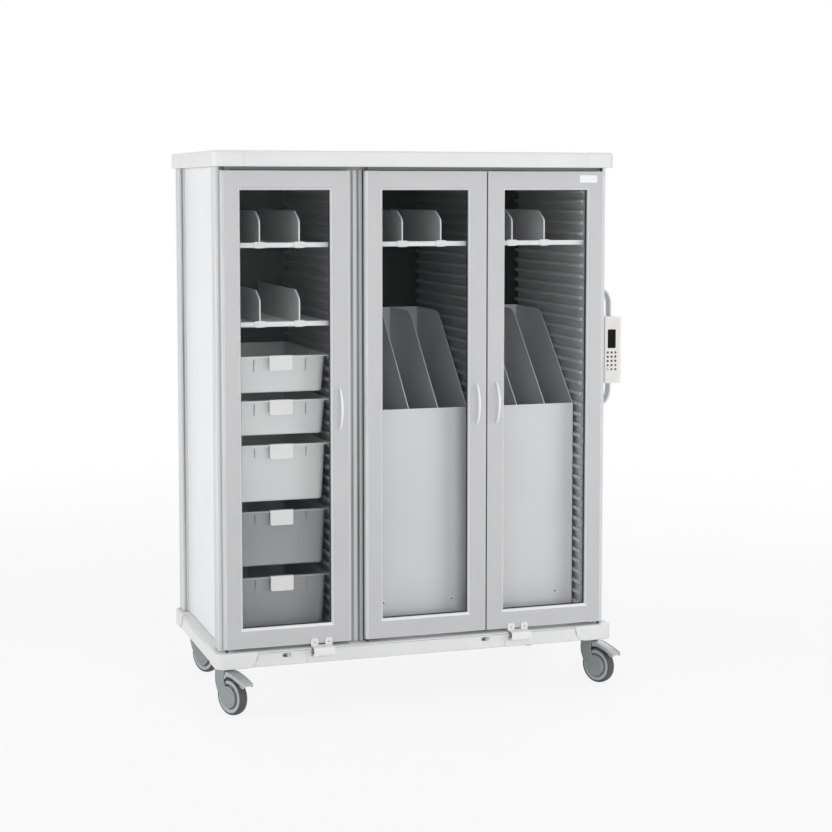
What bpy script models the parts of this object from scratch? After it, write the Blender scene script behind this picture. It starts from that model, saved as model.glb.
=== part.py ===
"""Closed hospital supply cart: a single and a double bay behind three glazed doors, on four casters.

Metres, +Z up. The front faces -Y. The origin is on the floor, under the middle of the whole cart.
"""

import math

import bmesh
import bpy
from mathutils import Matrix, Vector

# Driving dimensions of the body
BASE_WIDTH = 1.3954
BASE_DEPTH = 0.725
BASE_BOTTOM = 0.173
BASE_TOP = 0.225
COVER_BOTTOM = 1.801
COVER_TOP = 1.852
CORNER_RADIUS = 0.028
KEYPAD_REACH = 0.050
HASP_REACH = 0.025
DOOR_SIDE_INSET = 0.030
DOOR_FRONT_INSET = 0.020
BUMPER_LENGTH = 0.137
BUMPER_THICKNESS = 0.012
BUMPER_SWEEP = 0.042
BASE_RIM = 0.034
BASE_PAD = 0.145
BASE_FLOOR = 0.012
COVER_SIDE_INSET = 0.002
COVER_EDGE = 0.008
COVER_EDGE_LIFT = 0.006
COVER_ROOF = 0.012
COVER_RIM_SIDE = 0.075
COVER_RIM_FRONT = 0.115
COVER_RIM_BACK = 0.090

# Gap between pieces that touch, and how far a cutting tool runs past the piece it cuts
SEAT_GAP = 0.0003
SPARE = 0.010

# Doors
DOOR_WIDTH = 0.4285
DOOR_THICKNESS = 0.022
DOOR_BOTTOM = 0.233
DOOR_TOP = 1.789
DOOR_MEETING_GAP = 0.0015
MID_POST_WIDTH = 0.050
WINDOW_WIDTH = 0.300
WINDOW_BOTTOM = 0.299
WINDOW_TOP = 1.726
WINDOW_CHAMFER = 0.008
PANE_THICKNESS = 0.004
PANE_GROOVE = 0.006
ROD_RADIUS = 0.004
ROD_CLEARANCE = 0.0006
ROD_DEPTH = 0.010
HANDLE_HEIGHT = 1.010
HANDLE_LENGTH = 0.145
HANDLE_REACH = 0.035
HANDLE_EDGE = 0.035
HANDLE_HALF_WIDTH = 0.0048
HANDLE_HALF_DEPTH = 0.0045
HANDLE_END_SHARE = 0.6
HANDLE_ARCH = 1.5
HANDLE_STEPS = 12
DOOR_SOFT_EDGE = 0.004

# Posts, skin and ribbed walls
POST_WIDTH = 0.0495
POST_DEPTH = 0.060
POST_STANDOFF = 0.006
POST_WALL = 0.004
FLUTE_PITCH = 0.017
FLUTE_WIDTH = 0.009
FLUTE_DEPTH = 0.003
POST_CHAMFER = 0.003
MID_POST_DEPTH = 0.042
MID_FLUTE_PITCH = 0.015
SIDE_PROUD = 0.0125
PANEL_RECESS = 0.0225
PANEL_THICKNESS = 0.004
PANEL_SEAT = 0.006
FRAME_DEPTH = 0.667
LINER_BACK = 0.659
LINER_SETBACK = 0.012
PARTITION_SKIN = 0.004
PARTITION_NOSE = 0.080
BACK_PANEL_RECESS = 0.016
RIB_PITCH = 0.0367
RIB_COUNT = 41
RIBS_BELOW_FIRST_TRAY = 24
RIB_DEPTH = 0.012
RIB_TIP = 0.010
RIB_ROOT = 0.014
LINER_TOP = 1.795

# Columns of inserts, from the left door's left edge, and their half width between rib tips
COLUMNS = {"left": 0.214, "middle": 0.712, "right": 1.102}
COLUMN_HALF = 0.160
RIM_HALF = 0.169
RIM_THICKNESS = 0.004
TRAY_RIM_TOP = 1.183
INSERT_FRONT = 0.090
INSERT_BACK = 0.635

# Trays: rib steps below the topmost tray's rim, height, and whether it is a clear basket
TRAYS = {
    "tray_upper": (0, 0.122, False),
    "tray_middle": (4, 0.116, False),
    "tray_lower": (8, 0.190, False),
    "basket_upper": (14, 0.186, True),
    "basket_lower": (20, 0.186, True),
}
TRAY_HALF = 0.156
TRAY_TAPER = 0.010
TRAY_WALL = 0.0025
TRAY_CORNER = 0.016
TRAY_FOOT_CORNER = 0.010
RIM_CORNER = 0.006
BASKET_DIVIDER_OFFSET = 0.010
BASKET_DIVIDER_DROP = 0.012
RIM_SKIRT = 0.009
RIM_SKIRT_THICKNESS = 0.002
LABEL_WIDTH = 0.078
LABEL_HEIGHT = 0.050
LABEL_PROUD = 0.002
LABEL_THICKNESS = 0.003
LABEL_CORNER = 0.005

# Shelves: column, rib steps above the topmost tray's rim, and dividers from the column's middle
SHELVES = {
    "shelf_left_top": ("left", 10, (-0.0786, 0.0537)),
    "shelf_left_second": ("left", 3, (-0.0786, 0.0537)),
    "shelf_middle": ("middle", 10, (-0.0923, 0.0425)),
    "shelf_right": ("right", 10, (-0.0932, 0.0236)),
}
SHELF_FRONT = 0.0355
SHELF_LIP_HALF = 0.170
SHELF_LIP = 0.016
SHELF_LIP_RISE = 0.006
SHELF_EDGE = 0.004
SHELF_SIDE_GAP = 0.002
WING_INSET = 0.010
DIVIDER_FRONT = 0.077
DIVIDER_BACK = 0.108
DIVIDER_THICKNESS = 0.003
DIVIDER_SLOPE_END = 0.190
DIVIDER_BACK_INSET = 0.030
CLIP_WIDTH = 0.039
CLIP_PROUD = 0.003

# Tall bins
BIN_HALF = 0.157
BIN_FRONT_TOP = 0.990
BIN_BACK_TOP = 1.300
BIN_SLOPE_END = 0.400
BIN_WALL = 0.003
BIN_CELLS = 3

# Locks: hasp block's left end, key cylinder and recess, from the left door's left edge
LOCKS = {
    "left": (0.285, 0.213, (0.081, 0.276)),
    "right": (0.9785, 0.906, (0.775, 0.968)),
}
HASP_WIDTH = 0.084
HASP_BOTTOM = 0.200
HASP_TOP = 0.230
HASP_WALL = 0.0045
HASP_TAB_WIDTH = 0.023
HASP_TAB_INSET = 0.006
HASP_TAB_TOP = 0.252
HASP_TAB_THICKNESS = 0.006
HASP_TAB_LAP = 0.012
HASP_TAB_CORNER = 0.004
HASP_DOOR_GAP = 0.0015
HASP_CORNER = 0.006
NOTCH_SIDE = 0.0025
NOTCH_BELOW = 0.003
LOCK_RECESS = 0.004
LOCK_RECESS_EDGE = 0.006
BARREL_HEIGHT = 0.207
BARREL_RADIUS = 0.008
BARREL_FLANGE = 0.0025
BARREL_CLEARANCE = 0.0007
KEYWAY_HALF_WIDTH = 0.0011
KEYWAY_HALF_LENGTH = 0.005
BOLT_LENGTH = 0.056
BOLT_TIP_INSET = 0.001
BOLT_BOTTOM = 0.210
BOLT_TOP = 0.220

# Casters
WHEEL_RADIUS = 0.0625
WHEEL_HALF = 0.016
AXLE_RADIUS = 0.006
CASTER_TRAIL = 0.040
CASTER_TURN = math.radians(27.0)
CASTERS = {
    "front_left": (0.022, 0.100, CASTER_TURN),
    "front_right": (1.334, 0.100, CASTER_TURN),
    "rear_left": (0.050, 0.665, CASTER_TURN),
    "rear_right": (1.2854, 0.665, CASTER_TURN),
}
CROWN_RADIUS = 0.030
CROWN_TOP = BASE_BOTTOM - SEAT_GAP
FORK_HALF = 0.0235
FORK_SLOT = 0.0180
FORK_BRIDGE = 0.130
CROWN_BOTTOM = 0.146
CHEEK_END = 0.0155
WHEEL_CLEARANCE = 0.0006
PEDAL_PIVOT = (-0.018, 0.143)
PEDAL_HALF = 0.0172
PEDAL_SIDE_GAP = 0.001
PEDAL_ROOT_GAP = 0.004

# Caster outlines seen from the side, as (place behind the swivel, height), and half the wheel's
# section from its side face to the middle of its tread, as (place along the axle, radius)
CHEEK_TOP = CROWN_BOTTOM + (CROWN_TOP - CROWN_BOTTOM) / 10
CHEEK_REAR_EDGE = [(0.022, CHEEK_TOP), (0.0235, 0.125), (0.0225, 0.104), (0.016, 0.086)]
CHEEK_FRONT_EDGE = [(-0.026, 0.0905), (-0.020, 0.110), (-0.023, CHEEK_TOP)]
PEDAL_UPPER_EDGE = [(PEDAL_PIVOT[0], 0.145), (-0.045, 0.1445), (-0.090, 0.130), (-0.122, 0.114)]
PEDAL_LOWER_EDGE = [(-0.120, 0.108), (-0.085, 0.119), (-0.045, 0.1345), (PEDAL_PIVOT[0], 0.137)]
WHEEL_HALF_SECTION = [(-0.0145, AXLE_RADIUS + WHEEL_CLEARANCE), (-0.0145, 0.036), (-0.0125, 0.040),
                      (-WHEEL_HALF, 0.047), (-WHEEL_HALF, 0.055), (-0.010, 0.0610), (0.0, WHEEL_RADIUS)]

# Push handle and keypad on the right front post
PUSH_BOTTOM = 0.982
PUSH_TOP = 1.388
PUSH_REACH = 0.0364
PUSH_BAND = 0.0075
PUSH_CURVE = 0.058
PUSH_FRONT = 0.050
PUSH_BACK = 0.0875
KEYPAD_BOTTOM = 1.060
KEYPAD_TOP = 1.292
KEYPAD_FRONT = 0.026
KEYPAD_LEFT_GAP = 0.0016
KEYPAD_FACE_CENTRE = 0.0272
KEYPAD_CORNER = 0.006
FASCIA_CORNER = 0.003
FASCIA_BORDER = 0.006
FASCIA_THICKNESS = 0.0014
SCREEN_WIDTH = 0.029
SCREEN_HEIGHT = 0.064
SCREEN_CENTRE = 1.211
KEY_PITCH = 0.0143
KEY_RADIUS = 0.004
KEY_PROUD = 0.0006
KEY_ROWS = 5
SCREEN_SUNK = 0.0005
KEY_TOP_ROW = 1.163

# Places worked out from the driving dimensions
BASE_LEFT = -(BASE_WIDTH + KEYPAD_REACH) / 2
BASE_RIGHT = BASE_LEFT + BASE_WIDTH
BASE_FRONT = -(BASE_DEPTH + HASP_REACH) / 2 + HASP_REACH
BASE_BACK = BASE_FRONT + BASE_DEPTH
LEFT = BASE_LEFT + DOOR_SIDE_INSET
FRONT = BASE_FRONT + DOOR_FRONT_INSET
RIGHT = BASE_RIGHT - DOOR_SIDE_INSET
POST_FRONT = FRONT + DOOR_THICKNESS + POST_STANDOFF
POST_BACK = POST_FRONT + FRAME_DEPTH
MIDDLE_DOOR_LEFT = LEFT + DOOR_WIDTH + MID_POST_WIDTH
RIGHT_DOOR_LEFT = RIGHT - DOOR_WIDTH
MIDDLE_DOOR_RIGHT = RIGHT_DOOR_LEFT - DOOR_MEETING_GAP
RIB_TOP_OF_FIRST_TRAY = TRAY_RIM_TOP - RIM_THICKNESS - SEAT_GAP
LINER_BOTTOM = BASE_TOP + SEAT_GAP
LINER_FRONT = POST_FRONT + LINER_SETBACK
PIVOT_INSET = DOOR_THICKNESS / 2
PIVOT_Y = FRONT + PIVOT_INSET
PIVOTS = {"left": LEFT + PIVOT_INSET, "middle": MIDDLE_DOOR_LEFT + PIVOT_INSET, "right": RIGHT - PIVOT_INSET}
BARREL_BACK = FRONT + 0.003
BOLT_FRONT = FRONT - 0.0130
BOLT_BACK = FRONT - 0.0075


for old in list(bpy.data.objects):
    bpy.data.objects.remove(old)


# Finishes

def linear(level):
    """Turns an sRGB level from 0 to 255 into the linear value that a shader takes."""
    value = level / 255
    return value / 12.92 if value <= 0.04045 else ((value + 0.055) / 1.055) ** 2.4


def finish(name, colour, roughness, metallic=0.0, transmission=0.0):
    """A Principled finish from an sRGB colour."""
    material = bpy.data.materials.new(name)
    material.use_nodes = True
    shader = material.node_tree.nodes["Principled BSDF"]
    shader.inputs["Base Color"].default_value = [linear(level) for level in colour] + [1.0]
    shader.inputs["Roughness"].default_value = roughness
    shader.inputs["Metallic"].default_value = metallic
    shader.inputs["Transmission Weight"].default_value = transmission
    return material


WHITE_MOULDING = finish("white_moulding", (230, 231, 230), 0.45)
PANEL_PAINT = finish("panel_paint", (238, 239, 241), 0.40)
DOOR_PAINT = finish("door_paint", (200, 200, 200), 0.42)
ALUMINIUM = finish("anodised_aluminium", (176, 177, 178), 0.35, metallic=0.9)
CLEAR_PANE = finish("clear_pane", (235, 240, 240), 0.05, transmission=0.95)
RIBBED_PLASTIC = finish("ribbed_plastic", (205, 206, 207), 0.50)
TRAY_PLASTIC = finish("tray_plastic", (236, 237, 236), 0.45)
BASKET_PLASTIC = finish("basket_plastic", (215, 222, 224), 0.15, transmission=0.7)
BIN_PLASTIC = finish("bin_plastic", (214, 216, 217), 0.40)
GREY_PLASTIC = finish("grey_plastic", (150, 155, 158), 0.45)
TYRE_GREY = finish("tyre_grey", (92, 96, 98), 0.70)
STEEL = finish("bright_steel", (190, 190, 188), 0.25, metallic=1.0)
KEYPAD_WHITE = finish("keypad_white", (232, 232, 230), 0.40)
MEMBRANE = finish("membrane", (216, 214, 206), 0.55)


# Modelling helpers

def made(name, shape, coat):
    """Turns a bmesh into a named object with one finish, faces pointing out."""
    bmesh.ops.recalc_face_normals(shape, faces=shape.faces)
    mesh = bpy.data.meshes.new(name)
    shape.to_mesh(mesh)
    shape.free()
    if coat:
        mesh.materials.append(coat)
    piece = bpy.data.objects.new(name, mesh)
    bpy.context.scene.collection.objects.link(piece)
    return piece


def on_axis(axis, first, second, along):
    """A point from its two outline coordinates and its place along the extrusion axis."""
    places = {"X": (along, first, second), "Y": (first, along, second), "Z": (first, second, along)}
    return Vector(places[axis])


def prism(outline, axis, low, high):
    """A closed outline extruded along X, Y or Z."""
    shape = bmesh.new()
    cap = shape.faces.new([shape.verts.new(on_axis(axis, a, b, low)) for a, b in outline])
    grown = bmesh.ops.extrude_face_region(shape, geom=[cap])["geom"]
    lift = on_axis(axis, 0, 0, high - low)
    moved = [item for item in grown if isinstance(item, bmesh.types.BMVert)]
    bmesh.ops.translate(shape, vec=lift, verts=moved)
    return shape


def rectangle(left, low, right, high):
    """The four corners of an upright rectangle."""
    return [(left, low), (right, low), (right, high), (left, high)]


def arc(centre, radii, start, end, steps):
    """Points on an elliptic arc, angles in degrees."""
    turns = [math.radians(start + (end - start) * step / steps) for step in range(steps + 1)]
    return [(centre[0] + radii[0] * math.cos(turn), centre[1] + radii[1] * math.sin(turn)) for turn in turns]


def rounded(left, low, right, high, radius, steps=4):
    """A rectangle with round corners."""
    centres = [(right - radius, high - radius), (left + radius, high - radius),
               (left + radius, low + radius), (right - radius, low + radius)]
    points = []
    for quarter, centre in enumerate(centres):
        points += arc(centre, (radius, radius), 90 * quarter, 90 * quarter + 90, steps)
    return points


def circle(centre, radius, sides):
    """A regular polygon, half a side turned so that it stands on a flat."""
    half = 180 / sides
    return arc(centre, (radius, radius), half, 360 - half, sides - 1)


def box(low, high):
    """A box from its two opposite corners."""
    return prism(rectangle(low[0], low[1], high[0], high[1]), "Z", low[2], high[2])


def combine(piece, shape, operation):
    """Applies one Boolean with a tool shape to a piece."""
    tool = made("tool", shape, None)
    modifier = piece.modifiers.new(operation, "BOOLEAN")
    modifier.operation = operation
    modifier.object = tool
    result = bpy.data.meshes.new_from_object(piece.evaluated_get(bpy.context.evaluated_depsgraph_get()))
    piece.modifiers.clear()
    piece.data = result
    bpy.data.objects.remove(tool)


def cut(piece, *shapes):
    """Takes tool shapes out of a piece."""
    for shape in shapes:
        combine(piece, shape, "DIFFERENCE")


def fuse(piece, *shapes):
    """Joins tool shapes to a piece as one body."""
    for shape in shapes:
        combine(piece, shape, "UNION")


def loft(rings):
    """A closed solid through rings of equally many points, capped at both ends."""
    shape = bmesh.new()
    loops = [[shape.verts.new(point) for point in ring] for ring in rings]
    count = len(loops[0])
    for lower, upper in zip(loops, loops[1:]):
        for i in range(count):
            j = (i + 1) % count
            shape.faces.new([lower[i], lower[j], upper[j], upper[i]])
    shape.faces.new(loops[0])
    shape.faces.new(loops[-1])
    return shape


def turned(profile, axis_centre, axis, sides):
    """A ring-shaped solid: a closed profile of (along, radius) turned about an axis, resting on a flat."""
    shape = bmesh.new()
    loops = []
    reach = 1 / math.cos(math.pi / sides)
    for step in range(sides):
        turn = 2 * math.pi * (step + 0.5) / sides
        across, up = reach * math.cos(turn), reach * math.sin(turn)
        points = [axis_centre + on_axis(axis, r * across, r * up, a) for a, r in profile]
        loops.append([shape.verts.new(point) for point in points])
    count = len(profile)
    for step in range(sides):
        near, far = loops[step], loops[(step + 1) % sides]
        for i in range(count):
            j = (i + 1) % count
            shape.faces.new([near[i], near[j], far[j], far[i]])
    return shape


def smooth(piece, degrees=35):
    """Shades round faces smooth and keeps edges above the angle sharp."""
    piece.data.shade_smooth()
    piece.data.set_sharp_from_angle(angle=math.radians(degrees))


def pivot(piece, point):
    """Puts a piece's origin on its joint axis without moving its shape."""
    place = Vector(point)
    piece.data.transform(Matrix.Translation(-place))
    piece.location = place


# Base and top

def corner_region(side, end, grow):
    """The L-shaped bumper region at one corner: side -1 left, +1 right; end -1 front, +1 back."""
    length = BUMPER_LENGTH + grow
    thickness = BUMPER_THICKNESS + grow
    sweep = BUMPER_SWEEP
    corner_x = BASE_LEFT if side < 0 else BASE_RIGHT
    corner_y = BASE_FRONT if end < 0 else BASE_BACK

    def leg(corner, way):
        inner = corner - way * length
        round_centre = (inner + way * sweep, BASE_BOTTOM + sweep)
        seam = arc(round_centre, (-way * sweep, sweep), 0, -90, 6)
        outside = corner + way * SPARE
        start = [(outside, BASE_BOTTOM - SPARE), (outside, BASE_TOP + SPARE), (inner, BASE_TOP + SPARE)]
        return start + seam + [(inner + way * sweep, BASE_BOTTOM - SPARE)]

    across = sorted((corner_y + end * SPARE, corner_y - end * thickness))
    along = sorted((corner_x + side * SPARE, corner_x - side * thickness))
    region = made("region", prism(leg(corner_x, side), "Y", *across), None)
    fuse(region, prism(leg(corner_y, end), "X", *along))
    shape = bmesh.new()
    shape.from_mesh(region.data)
    bpy.data.objects.remove(region)
    return shape


def base_slab():
    """The full outline of the base, before anything is cut from it."""
    outline = rounded(BASE_LEFT, BASE_FRONT, BASE_RIGHT, BASE_BACK, CORNER_RADIUS)
    return prism(outline, "Z", BASE_BOTTOM, BASE_TOP)


def pivot_holes(piece, low, high):
    """Drills the three holes that the door rods turn in."""
    for x in PIVOTS.values():
        cut(piece, prism(circle((x, PIVOT_Y), ROD_RADIUS + ROD_CLEARANCE, 12), "Z", low, high))


def make_base():
    """Chassis with hollow underside, lock recesses, hasp notches and pivot holes, and four bumper corners."""
    chassis = made("base_chassis", base_slab(), WHITE_MOULDING)
    low, high = BASE_BOTTOM - SPARE, BASE_TOP - BASE_FLOOR
    for across, inward in ((BASE_PAD, BASE_RIM), (BASE_RIM, BASE_PAD)):
        cut(chassis, box((BASE_LEFT + across, BASE_FRONT + inward, low),
                         (BASE_RIGHT - across, BASE_BACK - inward, high)))
    for hasp, cylinder, recess in LOCKS.values():
        hasp_left = LEFT + hasp
        floor_y = BASE_FRONT + LOCK_RECESS
        notch_left = hasp_left - NOTCH_SIDE
        bolt_left = notch_left - BOLT_LENGTH - 2 * BOLT_TIP_INSET
        barrel = circle((LEFT + cylinder, BARREL_HEIGHT), BARREL_RADIUS + BARREL_CLEARANCE, 16)
        cut(chassis,
            box((LEFT + recess[0], BASE_FRONT - SPARE, BASE_BOTTOM + LOCK_RECESS_EDGE),
                (LEFT + recess[1], floor_y, BASE_TOP - LOCK_RECESS_EDGE)),
            box((notch_left, BASE_FRONT - SPARE, HASP_BOTTOM - NOTCH_BELOW),
                (hasp_left + HASP_WIDTH + NOTCH_SIDE, FRONT + HASP_DOOR_GAP, BASE_TOP + SPARE)),
            box((bolt_left, BOLT_FRONT - SEAT_GAP, BOLT_BOTTOM - SEAT_GAP),
                (hasp_left, BOLT_BACK + SEAT_GAP, BOLT_TOP + SEAT_GAP)),
            prism(barrel, "Y", floor_y - SPARE, BARREL_BACK + SEAT_GAP))
    pivot_holes(chassis, BASE_TOP - ROD_DEPTH - SEAT_GAP, BASE_TOP + SPARE)
    corners = {"front_left": (-1, -1), "front_right": (1, -1), "rear_left": (-1, 1), "rear_right": (1, 1)}
    for name, (side, end) in corners.items():
        cut(chassis, corner_region(side, end, SEAT_GAP))
        bumper = made("base_corner_" + name, corner_region(side, end, 0), WHITE_MOULDING)
        combine(bumper, base_slab(), "INTERSECT")
        smooth(bumper)
    smooth(chassis)


def make_top():
    """Moulded cover: rounded top edge, hollow underside and three pivot holes."""
    shoulder = COVER_TOP - COVER_EDGE
    steps = [(0, COVER_BOTTOM), (0, shoulder),
             (COVER_EDGE - COVER_EDGE_LIFT, shoulder + COVER_EDGE_LIFT), (COVER_EDGE, COVER_TOP)]
    rings = []
    for inset, z in steps:
        side = COVER_SIDE_INSET + inset
        outline = rounded(BASE_LEFT + side, BASE_FRONT + inset, BASE_RIGHT - side, BASE_BACK - inset,
                          CORNER_RADIUS - inset)
        rings.append([(x, y, z) for x, y in outline])
    cover = made("top_cover", loft(rings), WHITE_MOULDING)
    cut(cover, box((BASE_LEFT + COVER_RIM_SIDE, BASE_FRONT + COVER_RIM_FRONT, COVER_BOTTOM - SPARE),
                   (BASE_RIGHT - COVER_RIM_SIDE, BASE_BACK - COVER_RIM_BACK, COVER_TOP - COVER_ROOF)))
    pivot_holes(cover, COVER_BOTTOM - SPARE, COVER_BOTTOM + ROD_DEPTH + SEAT_GAP)
    smooth(cover)


# Frame and skin

def flute(centre):
    """One groove across an outline's edge, as (place along the edge, depth) pairs."""
    mouth, bed = FLUTE_WIDTH / 2, FLUTE_WIDTH / 3
    return [(centre - mouth, 0), (centre - bed, FLUTE_DEPTH),
            (centre + bed, FLUTE_DEPTH), (centre + mouth, 0)]


def corner_post_outline():
    """Plan of a corner post from its outer corner: (inward across, inward from front or back)."""
    grooves = []
    for step in (-1, 0, 1):
        grooves += [(depth, place) for place, depth in flute(POST_DEPTH / 2 + step * FLUTE_PITCH)]
    seat_low = PANEL_RECESS - SEAT_GAP
    seat_high = PANEL_RECESS + PANEL_THICKNESS + SEAT_GAP
    seat_bed = POST_DEPTH - PANEL_SEAT
    outer = [(POST_CHAMFER, 0), (0, POST_CHAMFER)]
    far = [(0, POST_DEPTH - POST_CHAMFER), (POST_CHAMFER, POST_DEPTH)]
    seat = [(seat_low, POST_DEPTH), (seat_low, seat_bed), (seat_high, seat_bed), (seat_high, POST_DEPTH)]
    return outer + grooves + far + seat + [(POST_WIDTH, POST_DEPTH), (POST_WIDTH, 0)]


def make_posts():
    """Four fluted hollow corner posts and the fluted post between the bays."""
    low, high = BASE_TOP + SEAT_GAP, COVER_BOTTOM - SEAT_GAP
    hollow = rectangle(2 * POST_WALL, POST_WALL, POST_WIDTH - POST_WALL, POST_DEPTH - 3 * POST_WALL)
    sides = {"left": (LEFT - SIDE_PROUD, 1), "right": (RIGHT + SIDE_PROUD, -1)}
    ends = {"front": (POST_FRONT, 1), "rear": (POST_BACK, -1)}
    for end, (y, inward) in ends.items():
        for side, (x, across) in sides.items():
            plan = [(x + across * a, y + inward * b) for a, b in corner_post_outline()]
            core = [(x + across * a, y + inward * b) for a, b in hollow]
            post = made(f"post_{end}_{side}", prism(plan, "Z", low, high), ALUMINIUM)
            cut(post, prism(core, "Z", low - SPARE, high + SPARE))
    left, right = LEFT + DOOR_WIDTH, MIDDLE_DOOR_LEFT
    back = POST_FRONT + MID_POST_DEPTH
    plan = [(left, POST_FRONT)]
    for step in (-1, 0, 1):
        groove = flute((left + right) / 2 + step * MID_FLUTE_PITCH)
        plan += [(place, POST_FRONT + depth) for place, depth in groove]
    plan += [(right, POST_FRONT), (right, back), (left, back)]
    core = rectangle(left + POST_WALL, POST_FRONT + 2 * POST_WALL, right - POST_WALL, back - POST_WALL)
    middle = made("post_mid", prism(plan, "Z", low, high), ALUMINIUM)
    cut(middle, prism(core, "Z", low - SPARE, high + SPARE))


def make_panels():
    """Side panels seated in the posts' grooves, and the back panel between the rear posts."""
    low, high = BASE_TOP + SEAT_GAP, COVER_BOTTOM - SEAT_GAP
    front = POST_FRONT + POST_DEPTH - PANEL_SEAT + SEAT_GAP
    back = POST_BACK - POST_DEPTH + PANEL_SEAT - SEAT_GAP
    for side, outer, way in (("left", LEFT - SIDE_PROUD, 1), ("right", RIGHT + SIDE_PROUD, -1)):
        ends = sorted((outer + way * PANEL_RECESS, outer + way * (PANEL_RECESS + PANEL_THICKNESS)))
        made("side_panel_" + side, box((ends[0], front, low), (ends[1], back, high)), PANEL_PAINT)
    inset = POST_WIDTH - SIDE_PROUD + SEAT_GAP
    skin = POST_BACK - BACK_PANEL_RECESS
    sheet = box((LEFT + inset, skin - PANEL_THICKNESS, low), (RIGHT - inset, skin, high))
    made("back_panel", sheet, PANEL_PAINT)


def ribs(tip, way):
    """Zigzag of runners from bottom to top: flat on top, sloped below, tips towards the column."""
    root = tip - way * RIB_DEPTH
    first = RIB_TOP_OF_FIRST_TRAY - RIBS_BELOW_FIRST_TRAY * RIB_PITCH
    line = [(root, LINER_BOTTOM)]
    for step in range(RIB_COUNT):
        top = first + step * RIB_PITCH
        line += [(root, top - RIB_ROOT), (tip, top - RIB_TIP), (tip, top), (root, top)]
    return line + [(root, LINER_TOP)]


def make_walls():
    """Outer liners with ribs on one side, partitions with ribs on both and a hollow back."""
    back = FRONT + LINER_BACK
    wall_left = LEFT + POST_WIDTH - SIDE_PROUD + SEAT_GAP
    wall_right = RIGHT - POST_WIDTH + SIDE_PROUD - SEAT_GAP
    left_line = ribs(LEFT + COLUMNS["left"] - COLUMN_HALF, 1)
    right_line = ribs(LEFT + COLUMNS["right"] + COLUMN_HALF, -1)
    for side, line, wall in (("left", left_line, wall_left), ("right", right_line, wall_right)):
        outline = line + [(wall, LINER_TOP), (wall, LINER_BOTTOM)]
        made("liner_" + side, prism(outline, "Y", LINER_FRONT, back), RIBBED_PLASTIC)
    neighbours = {"partition_left": ("left", "middle"), "partition_middle": ("middle", "right")}
    for name, (before, after) in neighbours.items():
        start = LEFT + COLUMNS[before] + COLUMN_HALF
        end = LEFT + COLUMNS[after] - COLUMN_HALF
        line = ribs(start, -1) + ribs(end, 1)[::-1]
        wall = made(name, prism(line, "Y", LINER_FRONT, back), RIBBED_PLASTIC)
        skin = RIB_DEPTH + PARTITION_SKIN
        cut(wall, box((start + skin, FRONT + PARTITION_NOSE, LINER_BOTTOM + 2 * SPARE),
                      (end - skin, back + SPARE, LINER_TOP - 2 * SPARE)))
        if name == "partition_left":
            post_back = POST_FRONT + MID_POST_DEPTH
            cut(wall, box((LEFT + DOOR_WIDTH - SEAT_GAP, LINER_FRONT - SPARE, LINER_BOTTOM - SPARE),
                          (MIDDLE_DOOR_LEFT + SEAT_GAP, post_back + SEAT_GAP, LINER_TOP + SPARE)))


# Doors

def bow(start, end, reach, half_width, half_depth):
    """A bow between two feet on a plane facing -Y: an oval bar along a low arch, thickest in the middle."""
    middle = (Vector(start) + Vector(end)) / 2
    half = (Vector(end) - Vector(start)).length / 2 - half_depth
    rise = reach - half_depth
    turns = [math.pi * step / HANDLE_STEPS for step in range(HANDLE_STEPS + 1)]
    arch = [(-half * math.cos(turn), -rise * abs(math.sin(turn)) ** HANDLE_ARCH) for turn in turns]
    rings = []
    for step, (z, y) in enumerate(arch):
        before = arch[max(step - 1, 0)]
        after = arch[min(step + 1, HANDLE_STEPS)]
        run = Vector((after[0] - before[0], after[1] - before[1])).normalized()
        if step in (0, HANDLE_STEPS):
            run = Vector((0.0, -1.0 if step == 0 else 1.0))
        side = Vector((run.y, -run.x))
        swell = HANDLE_END_SHARE + (1 - HANDLE_END_SHARE) * math.sin(turns[step])
        wide, deep = swell * half_width, swell * half_depth
        ring = [middle + Vector((a * wide, side.y * b * deep + y, side.x * b * deep + z))
                for a, b in circle((0, 0), 1.0, 8)]
        rings.append(ring)
    return loft(rings)


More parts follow.
